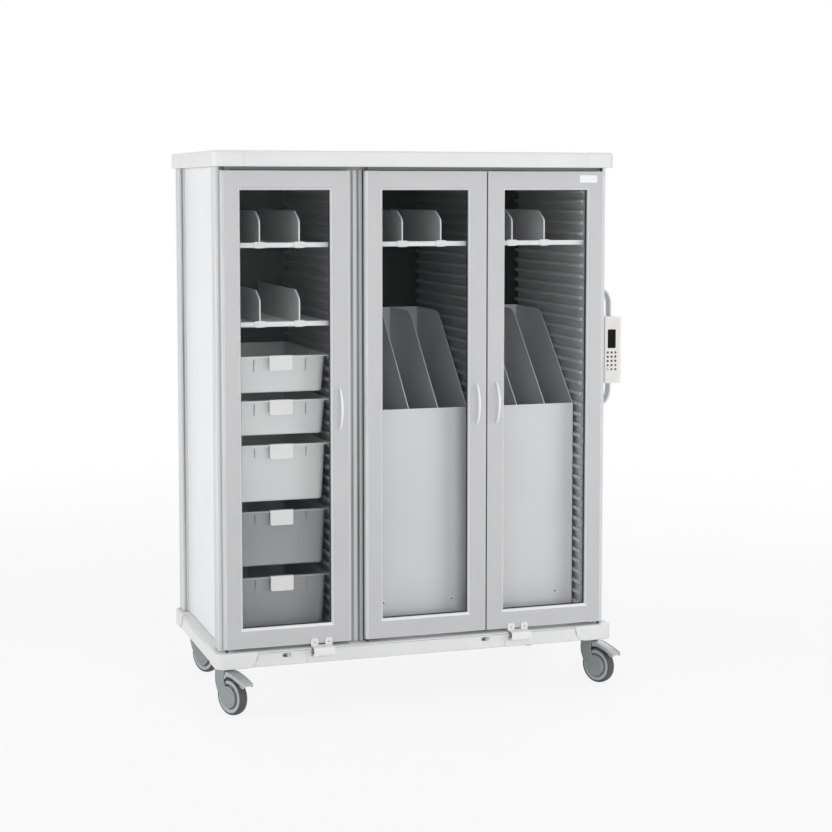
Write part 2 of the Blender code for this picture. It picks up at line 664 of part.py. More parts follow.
def make_door(name, left, width, hinge):
    """Door frame with a bullnose hinge edge, window and pane groove; pane, pivot rod and bow handle."""
    right = left + width
    radius = PIVOT_INSET
    back = FRONT + DOOR_THICKNESS
    soft = DOOR_SOFT_EDGE
    nose = arc((radius, radius), (radius, radius), 270, 90, 8)
    edge = [(width - soft, 2 * radius), (width, 2 * radius - soft), (width, soft), (width - soft, 0)]
    if hinge == "left":
        outline = [(left + a, FRONT + b) for a, b in nose + edge]
    else:
        outline = [(right - a, FRONT + b) for a, b in nose + edge]
    pivot_at = (PIVOTS[name], PIVOT_Y, 0)
    frame = made("door_frame_" + name, prism(outline, "Z", DOOR_BOTTOM, DOOR_TOP), DOOR_PAINT)
    window_left = left + (width - WINDOW_WIDTH) / 2
    window_right = window_left + WINDOW_WIDTH
    pane_front = FRONT + (DOOR_THICKNESS - PANE_THICKNESS) / 2
    mouth = SPARE / 10
    slope = []
    for grow, y in ((WINDOW_CHAMFER + mouth, FRONT - mouth), (0, FRONT + WINDOW_CHAMFER)):
        ring = rectangle(window_left - grow, WINDOW_BOTTOM - grow, window_right + grow, WINDOW_TOP + grow)
        slope.append([(x, y, z) for x, z in ring])
    rod_hole = circle(pivot_at[:2], ROD_RADIUS + ROD_CLEARANCE, 12)
    cut(frame,
        box((window_left, FRONT - SPARE, WINDOW_BOTTOM), (window_right, back + SPARE, WINDOW_TOP)),
        loft(slope),
        box((window_left - PANE_GROOVE, pane_front - SEAT_GAP, WINDOW_BOTTOM - PANE_GROOVE),
            (window_right + PANE_GROOVE, pane_front + PANE_THICKNESS + SEAT_GAP, WINDOW_TOP + PANE_GROOVE)),
        prism(rod_hole, "Z", DOOR_BOTTOM - SPARE, DOOR_TOP + SPARE))
    smooth(frame)
    lap = PANE_GROOVE - SEAT_GAP
    sheet = box((window_left - lap, pane_front, WINDOW_BOTTOM - lap),
                (window_right + lap, pane_front + PANE_THICKNESS, WINDOW_TOP + lap))
    pane = made("door_pane_" + name, sheet, CLEAR_PANE)
    bar = prism(circle(pivot_at[:2], ROD_RADIUS, 12), "Z", BASE_TOP - ROD_DEPTH, COVER_BOTTOM + ROD_DEPTH)
    rod = made("door_rod_" + name, bar, STEEL)
    smooth(rod)
    handle_x = right - HANDLE_EDGE if hinge == "left" else left + HANDLE_EDGE
    foot = FRONT - SEAT_GAP
    feet = [(handle_x, foot, HANDLE_HEIGHT + way * HANDLE_LENGTH / 2) for way in (-1, 1)]
    grip = bow(*feet, HANDLE_REACH - SEAT_GAP, HANDLE_HALF_WIDTH, HANDLE_HALF_DEPTH)
    handle = made("door_handle_" + name, grip, GREY_PLASTIC)
    smooth(handle, 50)
    for piece in (frame, pane, rod, handle):
        pivot(piece, pivot_at)


def make_lock(name, hasp, cylinder):
    """Hasp with two tabs and a hollow block, key cylinder with keyway, and the bolt that enters the block."""
    left = LEFT + hasp
    right = left + HASP_WIDTH
    front, back = BASE_FRONT - HASP_REACH, FRONT - HASP_DOOR_GAP
    block = rounded(left, HASP_BOTTOM, right, HASP_TOP, HASP_CORNER, 3)
    bracket = made("hasp_" + name, prism(block, "Y", front, back), WHITE_MOULDING)
    for x in (left + HASP_TAB_INSET, right - HASP_TAB_INSET - HASP_TAB_WIDTH):
        tab = rounded(x, HASP_TOP - HASP_TAB_LAP, x + HASP_TAB_WIDTH, HASP_TAB_TOP, HASP_TAB_CORNER, 3)
        fuse(bracket, prism(tab, "Y", FRONT - HASP_TAB_THICKNESS, FRONT - SEAT_GAP))
    cut(bracket, box((left - SPARE, front + HASP_WALL, HASP_BOTTOM + HASP_WALL),
                     (right - HASP_WALL, back - HASP_WALL, HASP_TOP - HASP_WALL)))
    pivot(bracket, (PIVOTS[name], PIVOT_Y, 0))
    centre = (LEFT + cylinder, BARREL_HEIGHT)
    floor_y = BASE_FRONT + LOCK_RECESS
    flange_back = floor_y - SEAT_GAP
    core = prism(circle(centre, BARREL_RADIUS, 16), "Y", flange_back, BARREL_BACK)
    barrel = made("lock_cylinder_" + name, core, STEEL)
    flange = circle(centre, BARREL_RADIUS + BARREL_FLANGE, 16)
    fuse(barrel, prism(flange, "Y", BASE_FRONT + SEAT_GAP, flange_back))
    cut(barrel, box((centre[0] - KEYWAY_HALF_WIDTH, BASE_FRONT - SPARE, centre[1] - KEYWAY_HALF_LENGTH),
                    (centre[0] + KEYWAY_HALF_WIDTH, floor_y, centre[1] + KEYWAY_HALF_LENGTH)))
    smooth(barrel)
    pivot(barrel, (centre[0], floor_y, centre[1]))
    bolt_end = left - NOTCH_SIDE - BOLT_TIP_INSET
    bar = box((bolt_end - BOLT_LENGTH, BOLT_FRONT, BOLT_BOTTOM), (bolt_end, BOLT_BACK, BOLT_TOP))
    bolt = made("lock_bolt_" + name, bar, STEEL)
    pivot(bolt, (bolt_end, (BOLT_FRONT + BOLT_BACK) / 2, (BOLT_BOTTOM + BOLT_TOP) / 2))


# Casters

def make_caster(name, x, y, turn, braked):
    """Fork with crown and axle, wheel, and on front casters a brake pedal; built along -Y, then turned."""
    axle = (-CASTER_TRAIL, WHEEL_RADIUS)
    cheek = CHEEK_REAR_EDGE + arc(axle, (CHEEK_END, CHEEK_END), -52, -280, 6) + CHEEK_FRONT_EDGE
    fork = made("caster_fork_" + name, prism(cheek, "X", -FORK_HALF, FORK_HALF), GREY_PLASTIC)
    far = 2 * WHEEL_RADIUS
    cut(fork, box((-FORK_SLOT, -far, -SPARE), (FORK_SLOT, far, FORK_BRIDGE)))
    axle_half = (FORK_SLOT + FORK_HALF) / 2
    fuse(fork,
         prism(circle((0, 0), CROWN_RADIUS, 20), "Z", CROWN_BOTTOM, CROWN_TOP),
         prism(circle(axle, AXLE_RADIUS, 12), "X", -axle_half, axle_half))
    if braked:
        slot, slot_end = PEDAL_HALF + PEDAL_SIDE_GAP, PEDAL_PIVOT[0] + PEDAL_ROOT_GAP
        cut(fork, box((-slot, -far, FORK_BRIDGE - SPARE), (slot, slot_end, CROWN_BOTTOM)))
    smooth(fork)
    profile = WHEEL_HALF_SECTION + [(-a, r) for a, r in reversed(WHEEL_HALF_SECTION[:-1])]
    wheel = made("caster_wheel_" + name, turned(profile, Vector((0, *axle)), "X", 24), TYRE_GREY)
    smooth(wheel)
    pieces = [fork, wheel]
    if braked:
        lever = PEDAL_UPPER_EDGE + PEDAL_LOWER_EDGE
        pedal = made("caster_pedal_" + name, prism(lever, "X", -PEDAL_HALF, PEDAL_HALF), GREY_PLASTIC)
        pieces.append(pedal)
    place = Matrix.Translation((LEFT + x, FRONT + y, 0)) @ Matrix.Rotation(turn, 4, "Z")
    joints = [Vector((0, 0, 0)), Vector((0, *axle)), Vector((0, *PEDAL_PIVOT))]
    for piece, joint in zip(pieces, joints):
        piece.data.transform(place)
        pivot(piece, place @ joint)


# Push handle and keypad

def make_push_handle():
    """Deep band bent into a bow on the right front post."""
    foot = RIGHT + SIDE_PROUD + SEAT_GAP
    band = []
    for inset in (0, PUSH_BAND):
        radii = (PUSH_REACH - inset, PUSH_CURVE - inset)
        low = arc((foot, PUSH_BOTTOM + PUSH_CURVE), radii, 270, 360, 6)
        high = arc((foot, PUSH_TOP - PUSH_CURVE), radii, 0, 90, 6)
        band.append(low + high)
    outline = band[0] + band[1][::-1]
    handle = made("push_handle", prism(outline, "Y", FRONT + PUSH_FRONT, FRONT + PUSH_BACK), GREY_PLASTIC)
    smooth(handle, 40)


def make_keypad():
    """Housing on the push handle, and the membrane with screen and keys in its recess."""
    left = RIGHT + SIDE_PROUD + KEYPAD_LEFT_GAP
    right = BASE_RIGHT + KEYPAD_REACH
    front, back = FRONT + KEYPAD_FRONT, FRONT + PUSH_FRONT - SEAT_GAP
    shell = rounded(left, KEYPAD_BOTTOM, right, KEYPAD_TOP, KEYPAD_CORNER, 3)
    housing = made("keypad_housing", prism(shell, "Y", front, back), KEYPAD_WHITE)

    def inside(border):
        return rounded(left + border, KEYPAD_BOTTOM + border, right - border, KEYPAD_TOP - border,
                       FASCIA_CORNER, 2)

    cut(housing, prism(inside(FASCIA_BORDER), "Y", front - SPARE, front + FASCIA_THICKNESS + SEAT_GAP))
    sheet = prism(inside(FASCIA_BORDER + SEAT_GAP), "Y", front, front + FASCIA_THICKNESS)
    fascia = made("keypad_fascia", sheet, MEMBRANE)
    middle = left + KEYPAD_FACE_CENTRE
    screen = rectangle(middle - SCREEN_WIDTH / 2, SCREEN_CENTRE - SCREEN_HEIGHT / 2,
                       middle + SCREEN_WIDTH / 2, SCREEN_CENTRE + SCREEN_HEIGHT / 2)
    cut(fascia, prism(screen, "Y", front - SPARE, front + SCREEN_SUNK))
    for row in range(KEY_ROWS):
        for column in (-1, 0, 1):
            key = circle((middle + column * KEY_PITCH, KEY_TOP_ROW - row * KEY_PITCH), KEY_RADIUS, 8)
            fuse(fascia, prism(key, "Y", front - KEY_PROUD, front + KEY_PROUD))


# Inserts

def make_shelf(name, column, steps, dividers):
    """Shelf plate on two runners, a lip across their front ends, back upstand, dividers and their clips."""
    middle = LEFT + COLUMNS[column]
    under = RIB_TOP_OF_FIRST_TRAY + steps * RIB_PITCH + SEAT_GAP
    top = under + RIM_THICKNESS
    front, back = FRONT + SHELF_FRONT, FRONT + INSERT_BACK
    lip_top = top + SHELF_LIP_RISE
    lip_low = lip_top - SHELF_LIP
    lip_back, stand_front = front + SHELF_EDGE, back - SHELF_EDGE
    section = [(lip_back - SHELF_EDGE / 2, under), (lip_back - SHELF_EDGE / 2, top), (stand_front, top),
               (stand_front, lip_top), (back, lip_top), (back, under)]
    half = COLUMN_HALF - SHELF_SIDE_GAP
    shelf = made(name, prism(section, "X", middle - half, middle + half), TRAY_PLASTIC)
    fuse(shelf, box((middle - SHELF_LIP_HALF, front, lip_low), (middle + SHELF_LIP_HALF, lip_back, lip_top)))
    for way in (-1, 1):
        ends = sorted((middle + way * (half - SHELF_SIDE_GAP), middle + way * RIM_HALF))
        fuse(shelf, box((ends[0], front + WING_INSET, under), (ends[1], back - WING_INSET, top)))
    root = top - RIM_THICKNESS / 2
    divider_front, divider_back = front + SHELF_EDGE / 2, back - DIVIDER_BACK_INSET
    upright = [(divider_front, root), (divider_front, top + DIVIDER_FRONT),
               (front + DIVIDER_SLOPE_END, top + DIVIDER_BACK), (divider_back, top + DIVIDER_BACK),
               (divider_back, root)]
    for offset in dividers:
        x = middle + offset
        fuse(shelf,
             prism(upright, "X", x - DIVIDER_THICKNESS / 2, x + DIVIDER_THICKNESS / 2),
             box((x - CLIP_WIDTH / 2, front - CLIP_PROUD, lip_low + CLIP_PROUD),
                 (x + CLIP_WIDTH / 2, lip_back + CLIP_PROUD, lip_top + CLIP_PROUD)))


def make_tray(name, steps, height, clear):
    """Tapered tray hung by its rim, a label holder clipped over the front rim, and in a basket a divider."""
    middle = LEFT + COLUMNS["left"]
    rim = TRAY_RIM_TOP - steps * RIB_PITCH
    under = rim - RIM_THICKNESS
    front, back = FRONT + INSERT_FRONT, FRONT + INSERT_BACK
    low = rim - height

    def ring(grow, z, corner):
        half = TRAY_HALF + grow
        outline = rounded(middle - half, front - grow, middle + half, back + grow, corner, 3)
        return [(x, y, z) for x, y in outline]

    lip = RIM_HALF - TRAY_HALF
    inner_foot = ring(-TRAY_TAPER - TRAY_WALL, low + TRAY_WALL, TRAY_FOOT_CORNER - TRAY_WALL)
    shell = loft([ring(-TRAY_TAPER, low, TRAY_FOOT_CORNER),
                  ring(0, under, TRAY_CORNER),
                  ring(lip, under, RIM_CORNER),
                  ring(lip, rim, RIM_CORNER),
                  ring(-TRAY_WALL, rim, TRAY_CORNER - TRAY_WALL),
                  inner_foot])
    tray = made(name, shell, BASKET_PLASTIC if clear else TRAY_PLASTIC)
    bite = TRAY_WALL / 2
    skirt_half = COLUMN_HALF - SHELF_SIDE_GAP
    for edge, inward in ((front - lip, 1), (back + lip, -1)):
        ends = sorted((edge, edge + inward * RIM_SKIRT_THICKNESS))
        fuse(tray, box((middle - skirt_half, ends[0], rim - RIM_SKIRT),
                       (middle + skirt_half, ends[1], rim - bite)))
    holder = rounded(middle - LABEL_WIDTH / 2, rim + LABEL_PROUD - LABEL_HEIGHT,
                     middle + LABEL_WIDTH / 2, rim + LABEL_PROUD, LABEL_CORNER, 3)
    holder_front = front - lip - LABEL_PROUD
    fuse(tray, prism(holder, "Y", holder_front, holder_front + LABEL_THICKNESS))
    if clear:
        x = middle + BASKET_DIVIDER_OFFSET
        foot, crest = low + bite, rim - BASKET_DIVIDER_DROP
        slant = [(front + TRAY_TAPER + bite, foot), (front + bite, crest),
                 (back - bite, crest), (back - TRAY_TAPER - bite, foot)]
        fuse(tray, prism(slant, "X", x - TRAY_WALL / 2, x + TRAY_WALL / 2))
    pivot(tray, (middle, front, rim))


def make_bin(name, column):
    """Tall bin standing on the base: low front panel, sides and dividers that slope up to the back."""
    middle = LEFT + COLUMNS[column]
    front, back = FRONT + INSERT_FRONT, FRONT + INSERT_BACK
    low = BASE_TOP + SEAT_GAP
    side = [(front, low), (front, BIN_FRONT_TOP), (FRONT + BIN_SLOPE_END, BIN_BACK_TOP),
            (back, BIN_BACK_TOP), (back, low)]
    holder = made(name, prism(side, "X", middle - BIN_HALF, middle + BIN_HALF), BIN_PLASTIC)
    pitch = (2 * BIN_HALF - BIN_WALL) / BIN_CELLS
    for cell in range(BIN_CELLS):
        start = middle - BIN_HALF + BIN_WALL + cell * pitch
        cut(holder, box((start, front + BIN_WALL, low + BIN_WALL),
                        (start + pitch - BIN_WALL, back - BIN_WALL, BIN_BACK_TOP + SPARE)))


# Assembly

make_base()
make_top()
make_posts()
make_panels()
make_walls()
make_door("left", LEFT, DOOR_WIDTH, "left")
make_door("middle", MIDDLE_DOOR_LEFT, MIDDLE_DOOR_RIGHT - MIDDLE_DOOR_LEFT, "left")
make_door("right", RIGHT_DOOR_LEFT, DOOR_WIDTH, "right")
for lock_name, (hasp_place, cylinder_place, _) in LOCKS.items():
    make_lock(lock_name, hasp_place, cylinder_place)
for caster_name, (across_place, depth_place, heading) in CASTERS.items():
    make_caster(caster_name, across_place, depth_place, heading, caster_name.startswith("front"))
make_push_handle()
make_keypad()
for shelf_name, (shelf_column, rib_steps, divider_places) in SHELVES.items():
    make_shelf(shelf_name, shelf_column, rib_steps, divider_places)
for tray_name, (rib_steps, tray_height, is_clear) in TRAYS.items():
    make_tray(tray_name, rib_steps, tray_height, is_clear)
for bin_column in ("middle", "right"):
    make_bin("bin_" + bin_column, bin_column)
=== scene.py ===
# %% [markdown]
# # A glazed supply cart
# The cart is a tall cabinet on four swivel casters, with three glazed doors and rows of trays, shelves
# and bins inside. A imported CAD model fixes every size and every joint. This lesson dresses that frame:
# solids whose shape is already right are kept and get a finish, and finer surfaces take the place of
# the others. Everything is in metres, z is up and the doors face -y.

# %% Load the frame
import math

import bmesh
import bpy
import numpy as np
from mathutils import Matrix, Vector


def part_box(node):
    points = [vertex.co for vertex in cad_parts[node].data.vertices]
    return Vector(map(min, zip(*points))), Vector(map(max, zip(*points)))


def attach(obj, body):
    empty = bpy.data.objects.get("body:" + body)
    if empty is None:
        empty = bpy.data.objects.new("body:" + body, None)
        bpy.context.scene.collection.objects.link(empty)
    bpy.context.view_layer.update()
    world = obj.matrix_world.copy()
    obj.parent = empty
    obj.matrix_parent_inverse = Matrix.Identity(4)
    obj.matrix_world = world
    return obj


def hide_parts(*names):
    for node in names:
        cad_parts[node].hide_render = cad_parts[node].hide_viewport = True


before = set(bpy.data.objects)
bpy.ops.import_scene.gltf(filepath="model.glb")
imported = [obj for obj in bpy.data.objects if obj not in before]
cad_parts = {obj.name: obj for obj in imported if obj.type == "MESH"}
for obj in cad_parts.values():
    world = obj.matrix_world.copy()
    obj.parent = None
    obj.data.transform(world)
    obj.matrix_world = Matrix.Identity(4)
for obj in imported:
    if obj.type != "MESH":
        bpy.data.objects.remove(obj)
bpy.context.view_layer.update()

# %% [markdown]
# ## Camera
# The picture was taken level, from eye height and to the left of the cart, with the lens slid down so
# that upright edges stay parallel. The same slide here would push the cart out of the frame in the other
# views, so most of it is traded for a tilt of about five degrees. The place stays, and turn, tilt and
# focal length are a least-squares fit of this tilted camera to the level one.

# %% Camera
CAMERA_PLACE = (-1.9174, -6.0843, 1.726)
CAMERA_YAW = math.radians(18.098)
CAMERA_PITCH = math.radians(4.845)
CAMERA_LENS = 79.27
CAMERA_SHIFT = -0.085

lens = bpy.data.cameras.new("eye_level")
lens.lens = CAMERA_LENS
lens.shift_y = CAMERA_SHIFT
camera = bpy.data.objects.new("eye_level", lens)
camera.location = CAMERA_PLACE
camera.rotation_euler = (math.pi / 2 - CAMERA_PITCH, 0.0, -CAMERA_YAW)
bpy.context.scene.collection.objects.link(camera)
bpy.context.scene.camera = camera
bpy.context.scene.view_settings.view_transform = "Standard"
print("camera at", CAMERA_PLACE, "lens", CAMERA_LENS)

# %% [markdown]
# ## Studio
# A white product studio is a pale floor, a bright surround and a few large soft lamps. A sky texture could
# light the cart too, but lamps can be aimed. The surround is pure white only for rays that the eye, a
# mirror or a pane sends out; for lighting it is dimmer, so the lamps can shape the object. The floor works
# the same way and keeps part of the shadow.

# %% Surround
WHITE = (1, 1, 1, 1)
SURROUND_LIGHT = 0.43


def add_node(tree, kind, **settings):
    """Adds one node to a tree and sets its properties by name."""
    made = tree.nodes.new(kind)
    for key, value in settings.items():
        setattr(made, key, value)
    return made


def seen_directly(tree):
    """A socket that is 1 for camera, glossy and transmission rays and 0 for the rays that carry light."""
    path = add_node(tree, "ShaderNodeLightPath")
    first = add_node(tree, "ShaderNodeMath", operation="ADD", use_clamp=True)
    both = add_node(tree, "ShaderNodeMath", operation="ADD", use_clamp=True)
    tree.links.new(path.outputs["Is Camera Ray"], first.inputs[0])
    tree.links.new(path.outputs["Is Glossy Ray"], first.inputs[1])
    tree.links.new(first.outputs[0], both.inputs[0])
    tree.links.new(path.outputs["Is Transmission Ray"], both.inputs[1])
    return both.outputs[0]


def joined(tree, share, lit, seen, kind):
    """Mixes two shaders by a share socket, lit at 0 and seen at 1, and ends in an output node."""
    mix = add_node(tree, "ShaderNodeMixShader")
    out = add_node(tree, kind)
    tree.links.new(share, mix.inputs[0])
    tree.links.new(lit.outputs[0], mix.inputs[1])
    tree.links.new(seen.outputs[0], mix.inputs[2])
    tree.links.new(mix.outputs[0], out.inputs["Surface"])


def make_surround():
    """World that looks white and lights more gently."""
    world = bpy.data.worlds.new("surround")
    world.use_nodes = True
    tree = world.node_tree
    tree.nodes.clear()
    light = add_node(tree, "ShaderNodeBackground")
    light.inputs["Strength"].default_value = SURROUND_LIGHT
    white = add_node(tree, "ShaderNodeBackground")
    for glow in (light, white):
        glow.inputs["Color"].default_value = WHITE
    joined(tree, seen_directly(tree), light, white, "ShaderNodeOutputWorld")
    bpy.context.scene.world = world


make_surround()
print("surround: white to the eye, strength", SURROUND_LIGHT, "for lighting")

# %% Floor
FLOOR_MATT = (0.80, 0.80, 0.80, 1)
FLOOR_WHITE_SHARE = 0.86
FLOOR_CLEAR, FLOOR_WHITE = 1.5, 6.0
FLOOR_HALF = 60.0


def mapped(tree, source, before, after, **settings):
    """A value that runs over the pair before comes out running over the pair after."""
    made = add_node(tree, "ShaderNodeMapRange", **settings)
    tree.links.new(source, made.inputs["Value"])
    for name, value in zip(("From Min", "From Max", "To Min", "To Max"), (*before, *after)):
        made.inputs[name].default_value = value
    return made.outputs["Result"]


def floor_coat():
    """Matt for light, mostly white for the eye, so that a soft shadow stays. The white share grows with the
    distance from the cart, and the floor meets the white surround without an edge."""
    coat = bpy.data.materials.new("pale_floor")
    coat.use_nodes = True
    tree = coat.node_tree
    tree.nodes.clear()
    matt = add_node(tree, "ShaderNodeBsdfDiffuse")
    matt.inputs["Color"].default_value = FLOOR_MATT
    white = add_node(tree, "ShaderNodeEmission")
    place = add_node(tree, "ShaderNodeTexCoord")
    away = add_node(tree, "ShaderNodeVectorMath", operation="LENGTH")
    tree.links.new(place.outputs["Object"], away.inputs[0])
    fade = mapped(tree, away.outputs["Value"], (FLOOR_CLEAR, FLOOR_WHITE), (FLOOR_WHITE_SHARE, 1.0),
                  interpolation_type="SMOOTHSTEP")
    share = add_node(tree, "ShaderNodeMath", operation="MULTIPLY")
    tree.links.new(seen_directly(tree), share.inputs[0])
    tree.links.new(fade, share.inputs[1])
    joined(tree, share.outputs[0], matt, white, "ShaderNodeOutputMaterial")
    return coat


def make_floor():
    """One large square at height 0."""
    span = np.array([-FLOOR_HALF, FLOOR_HALF])
    x, y = np.meshgrid(span, span)
    points = np.stack([x, y, 0 * x], -1).reshape(-1, 3)
    mesh = bpy.data.meshes.new("floor")
    mesh.from_pydata(points.tolist(), [], [(0, 1, 3, 2)])
    mesh.materials.append(floor_coat())
    floor = bpy.data.objects.new("floor", mesh)
    bpy.context.scene.collection.objects.link(floor)


make_floor()
print("floor:", 2 * FLOOR_HALF, "m wide")

# %% Lamps
CART_MIDDLE = (0.0, 0.0, 0.9)
# Place, width of the square and power in watts.
LAMPS = {"left_lamp": ((-4.6, -0.45, 1.5), 2.6, 80),
         "front_lamp": ((0.1, -5.2, 1.2), 2.4, 57),
         "right_lamp": ((3.2, -3.6, 1.0), 2.0, 45),
         "top_lamp": ((0.0, -1.8, 4.4), 2.4, 18),
         "rear_lamp": ((3.2, 3.6, 2.6), 2.4, 55)}


def soft_lamp(name, place, size, power):
    """Square area lamp turned from its place towards the middle of the cart."""
    data = bpy.data.lights.new(name, "AREA")
    data.size = size
    data.energy = power
    lamp = bpy.data.objects.new(name, data)
    lamp.location = place
    way = Vector([middle - start for middle, start in zip(CART_MIDDLE, place)])
    lamp.rotation_euler = way.to_track_quat("-Z", "Y").to_euler()
    bpy.context.scene.collection.objects.link(lamp)


for lamp_name, lamp_values in LAMPS.items():
    soft_lamp(lamp_name, *lamp_values)
print("lamps:", ", ".join(LAMPS))

# %% [markdown]
# ## Finishes
# Nothing on a real cart is one flat colour: moulded plastic has a fine grain, lacquer an orange-peel
# skin and extruded metal long drawing lines. Many edges are also given a lighter tone as a painted
# highlight, and the beds of the posts' flutes a darker one as painted shade. Each could have a material
# of its own, but one recipe covers them all and keeps them alike. Noise on Object coordinates drifts the
# colour and the roughness, a finer noise gives the bump, and a point attribute that later shapes carry on
# their edges and in their flutes lets the painted tone through.

# %% Colour and noise helpers
NOISE_SPAN = (0.3, 0.7)
MIX_FIRST, MIX_SECOND, MIX_RESULT = 6, 7, 2


def tone(red, green, blue):
    """A colour written as screen levels from 0 to 255, turned into the linear values that shaders use: a
    straight line for the darkest levels, and a power of 2.4 above them."""
    level = np.array([red, green, blue]) / 255.0
    low, high = level / 12.92, ((level + 0.055) / 1.055) ** 2.4
    return (*np.where(level <= 0.04045, low, high).tolist(), 1.0)


def noise(tree, place, scale, detail):
    """A noise value at a place socket."""
    made = add_node(tree, "ShaderNodeTexNoise")
    made.inputs["Scale"].default_value = scale
    made.inputs["Detail"].default_value = detail
    tree.links.new(place, made.inputs["Vector"])
    return made.outputs[0]


def ranged(tree, source, low, high):
    """A noise value, which hardly leaves its usual span, stretched to run from low to high."""
    return mapped(tree, source, NOISE_SPAN, (low, high))


def blended(tree, share, first, second):
    """Mixes two colours, each a socket or a fixed colour, by a share socket. A Mix node has sockets for
    several kinds of value, and its colours are reached by number."""
    mix = add_node(tree, "ShaderNodeMix", data_type="RGBA")
    tree.links.new(share, mix.inputs[0])
    for place, value in ((MIX_FIRST, first), (MIX_SECOND, second)):
        if isinstance(value, tuple):
            mix.inputs[place].default_value = value
        else:
            tree.links.new(value, mix.inputs[place])
    return mix.outputs[MIX_RESULT]


print("white level 232 is", round(tone(232, 232, 232)[0], 3), "in linear light")

# %% Finish recipe
CLOUD_DETAIL, GRAIN_DETAIL = 4.0, 2.0
PAINTED_LIGHT_SHARE = (0.2, 0.9)
BUMP_STRENGTH = 0.5


def finish(name, colour, drift, rough, spread=0.06, patch=6.0, grain=900.0, height=0.00004,
           stretch=(1, 1, 1), painted_light_tone=None, painted_shade_side=None, **sockets):
    """Material from the shared recipe. colour drifts to drift in patches, roughness varies by spread,
    grain and height make the bump, stretch draws the noise out along an axis, painted_light_tone is the
    tone painted where shapes set their attribute (a painted highlight on edges, painted shade in flutes),
    and painted_shade_side is (y, colour) for a panel whose side before y is painted dark as shade."""
    coat = bpy.data.materials.new(name)
    coat.use_nodes = True
    tree = coat.node_tree
    shader = tree.nodes["Principled BSDF"]
    place = add_node(tree, "ShaderNodeTexCoord")
    drawn = add_node(tree, "ShaderNodeMapping")
    drawn.inputs["Scale"].default_value = stretch
    tree.links.new(place.outputs["Object"], drawn.inputs["Vector"])
    cloud = noise(tree, drawn.outputs[0], patch, CLOUD_DETAIL)
    fine = noise(tree, drawn.outputs[0], grain, GRAIN_DETAIL)
    skin = blended(tree, ranged(tree, cloud, 0.0, 1.0), tone(*colour), tone(*drift))
    # Painted shade: the side of the panel before y takes a dark colour that stands for shade.
    if painted_shade_side:
        split = add_node(tree, "ShaderNodeSeparateXYZ")
        side = add_node(tree, "ShaderNodeMath", operation="LESS_THAN")
        side.inputs[1].default_value = painted_shade_side[0]
        tree.links.new(place.outputs["Object"], split.inputs[0])
        tree.links.new(split.outputs["Y"], side.inputs[0])
        skin = blended(tree, side.outputs[0], skin, tone(*painted_shade_side[1]))
    # Painted light: where a shape sets its point attribute, the finish's extra tone is blended in, as a
    # painted highlight on edges and as painted shade in the beds of the posts' flutes.
    if painted_light_tone:
        painted_light = add_node(tree, "ShaderNodeAttribute", attribute_name="painted_light")
        painted_share = add_node(tree, "ShaderNodeMath", operation="MULTIPLY")
        tree.links.new(painted_light.outputs["Fac"], painted_share.inputs[0])
        tree.links.new(ranged(tree, cloud, *PAINTED_LIGHT_SHARE), painted_share.inputs[1])
        skin = blended(tree, painted_share.outputs[0], skin, tone(*painted_light_tone))
    tree.links.new(skin, shader.inputs["Base Color"])
    tree.links.new(ranged(tree, fine, rough - spread, rough + spread), shader.inputs["Roughness"])
    bump = add_node(tree, "ShaderNodeBump")
    bump.inputs["Strength"].default_value = BUMP_STRENGTH
    bump.inputs["Distance"].default_value = height
    tree.links.new(fine, bump.inputs["Height"])
    tree.links.new(bump.outputs[0], shader.inputs["Normal"])
    for socket, value in sockets.items():
        shader.inputs[socket.replace("_", " ")].default_value = value
    return coat


# Where a finish gives an extra lighter tone, that tone is a painted highlight on edges.
MOULDED_WHITE = finish("moulded_white", (232, 233, 232), (226, 227, 226), 0.42, painted_light_tone=(242, 242, 241))
print(MOULDED_WHITE.name, "has", len(MOULDED_WHITE.node_tree.nodes), "nodes")

# %% Finishes of the cabinet
PANEL_TONES = ((238, 239, 241), (236, 237, 239))
# The inner side of the back panel is painted near black as painted shade of the cabinet's inside.
BACK_PAINTED_SHADE = (0.3465, (20, 20, 21))
PANEL_LACQUER = finish("panel_lacquer", *PANEL_TONES, 0.36, grain=500.0)
BACK_LACQUER = finish("back_lacquer_painted_shade", *PANEL_TONES, 0.36, grain=500.0, painted_shade_side=BACK_PAINTED_SHADE,
                      Specular_IOR_Level=0.15)
# The door lacquer's lighter extra tone is a painted highlight on the doors' front edges.
DOOR_LACQUER = finish("door_lacquer", (198, 198, 199), (194, 194, 196), 0.38, grain=420.0,
                      painted_light_tone=(222, 222, 222))
# The bead round the windows is a paler copy of the door lacquer: a painted highlight on the bevel.
BEVEL_PAINTED_HIGHLIGHT = finish("bevel_painted_highlight", (224, 224, 225), (219, 219, 221), 0.36, grain=420.0)
EXTRUDED = dict(spread=0.10, patch=60.0, grain=1500.0, stretch=(1, 1, 0.02), Metallic=0.15)
# Painted shade: the middle post is a darker copy of the anodised finish, for the shade where it stands back
# between the bays; its dark extra tone is painted shade in its flutes.
POST_SHADE = finish("anodised_painted_shade", (198, 199, 201), (190, 191, 193), 0.50, painted_light_tone=(56, 57, 59),
                    **EXTRUDED)
# The dark extra tone of this finish is painted shade in the beds of the flutes.
ANODISED = finish("anodised_extrusion", (225, 226, 227), (215, 216, 218), 0.50, painted_light_tone=(62, 63, 65),
                  **EXTRUDED)
RIBBED = dict(grain=700.0, Specular_IOR_Level=0.2)
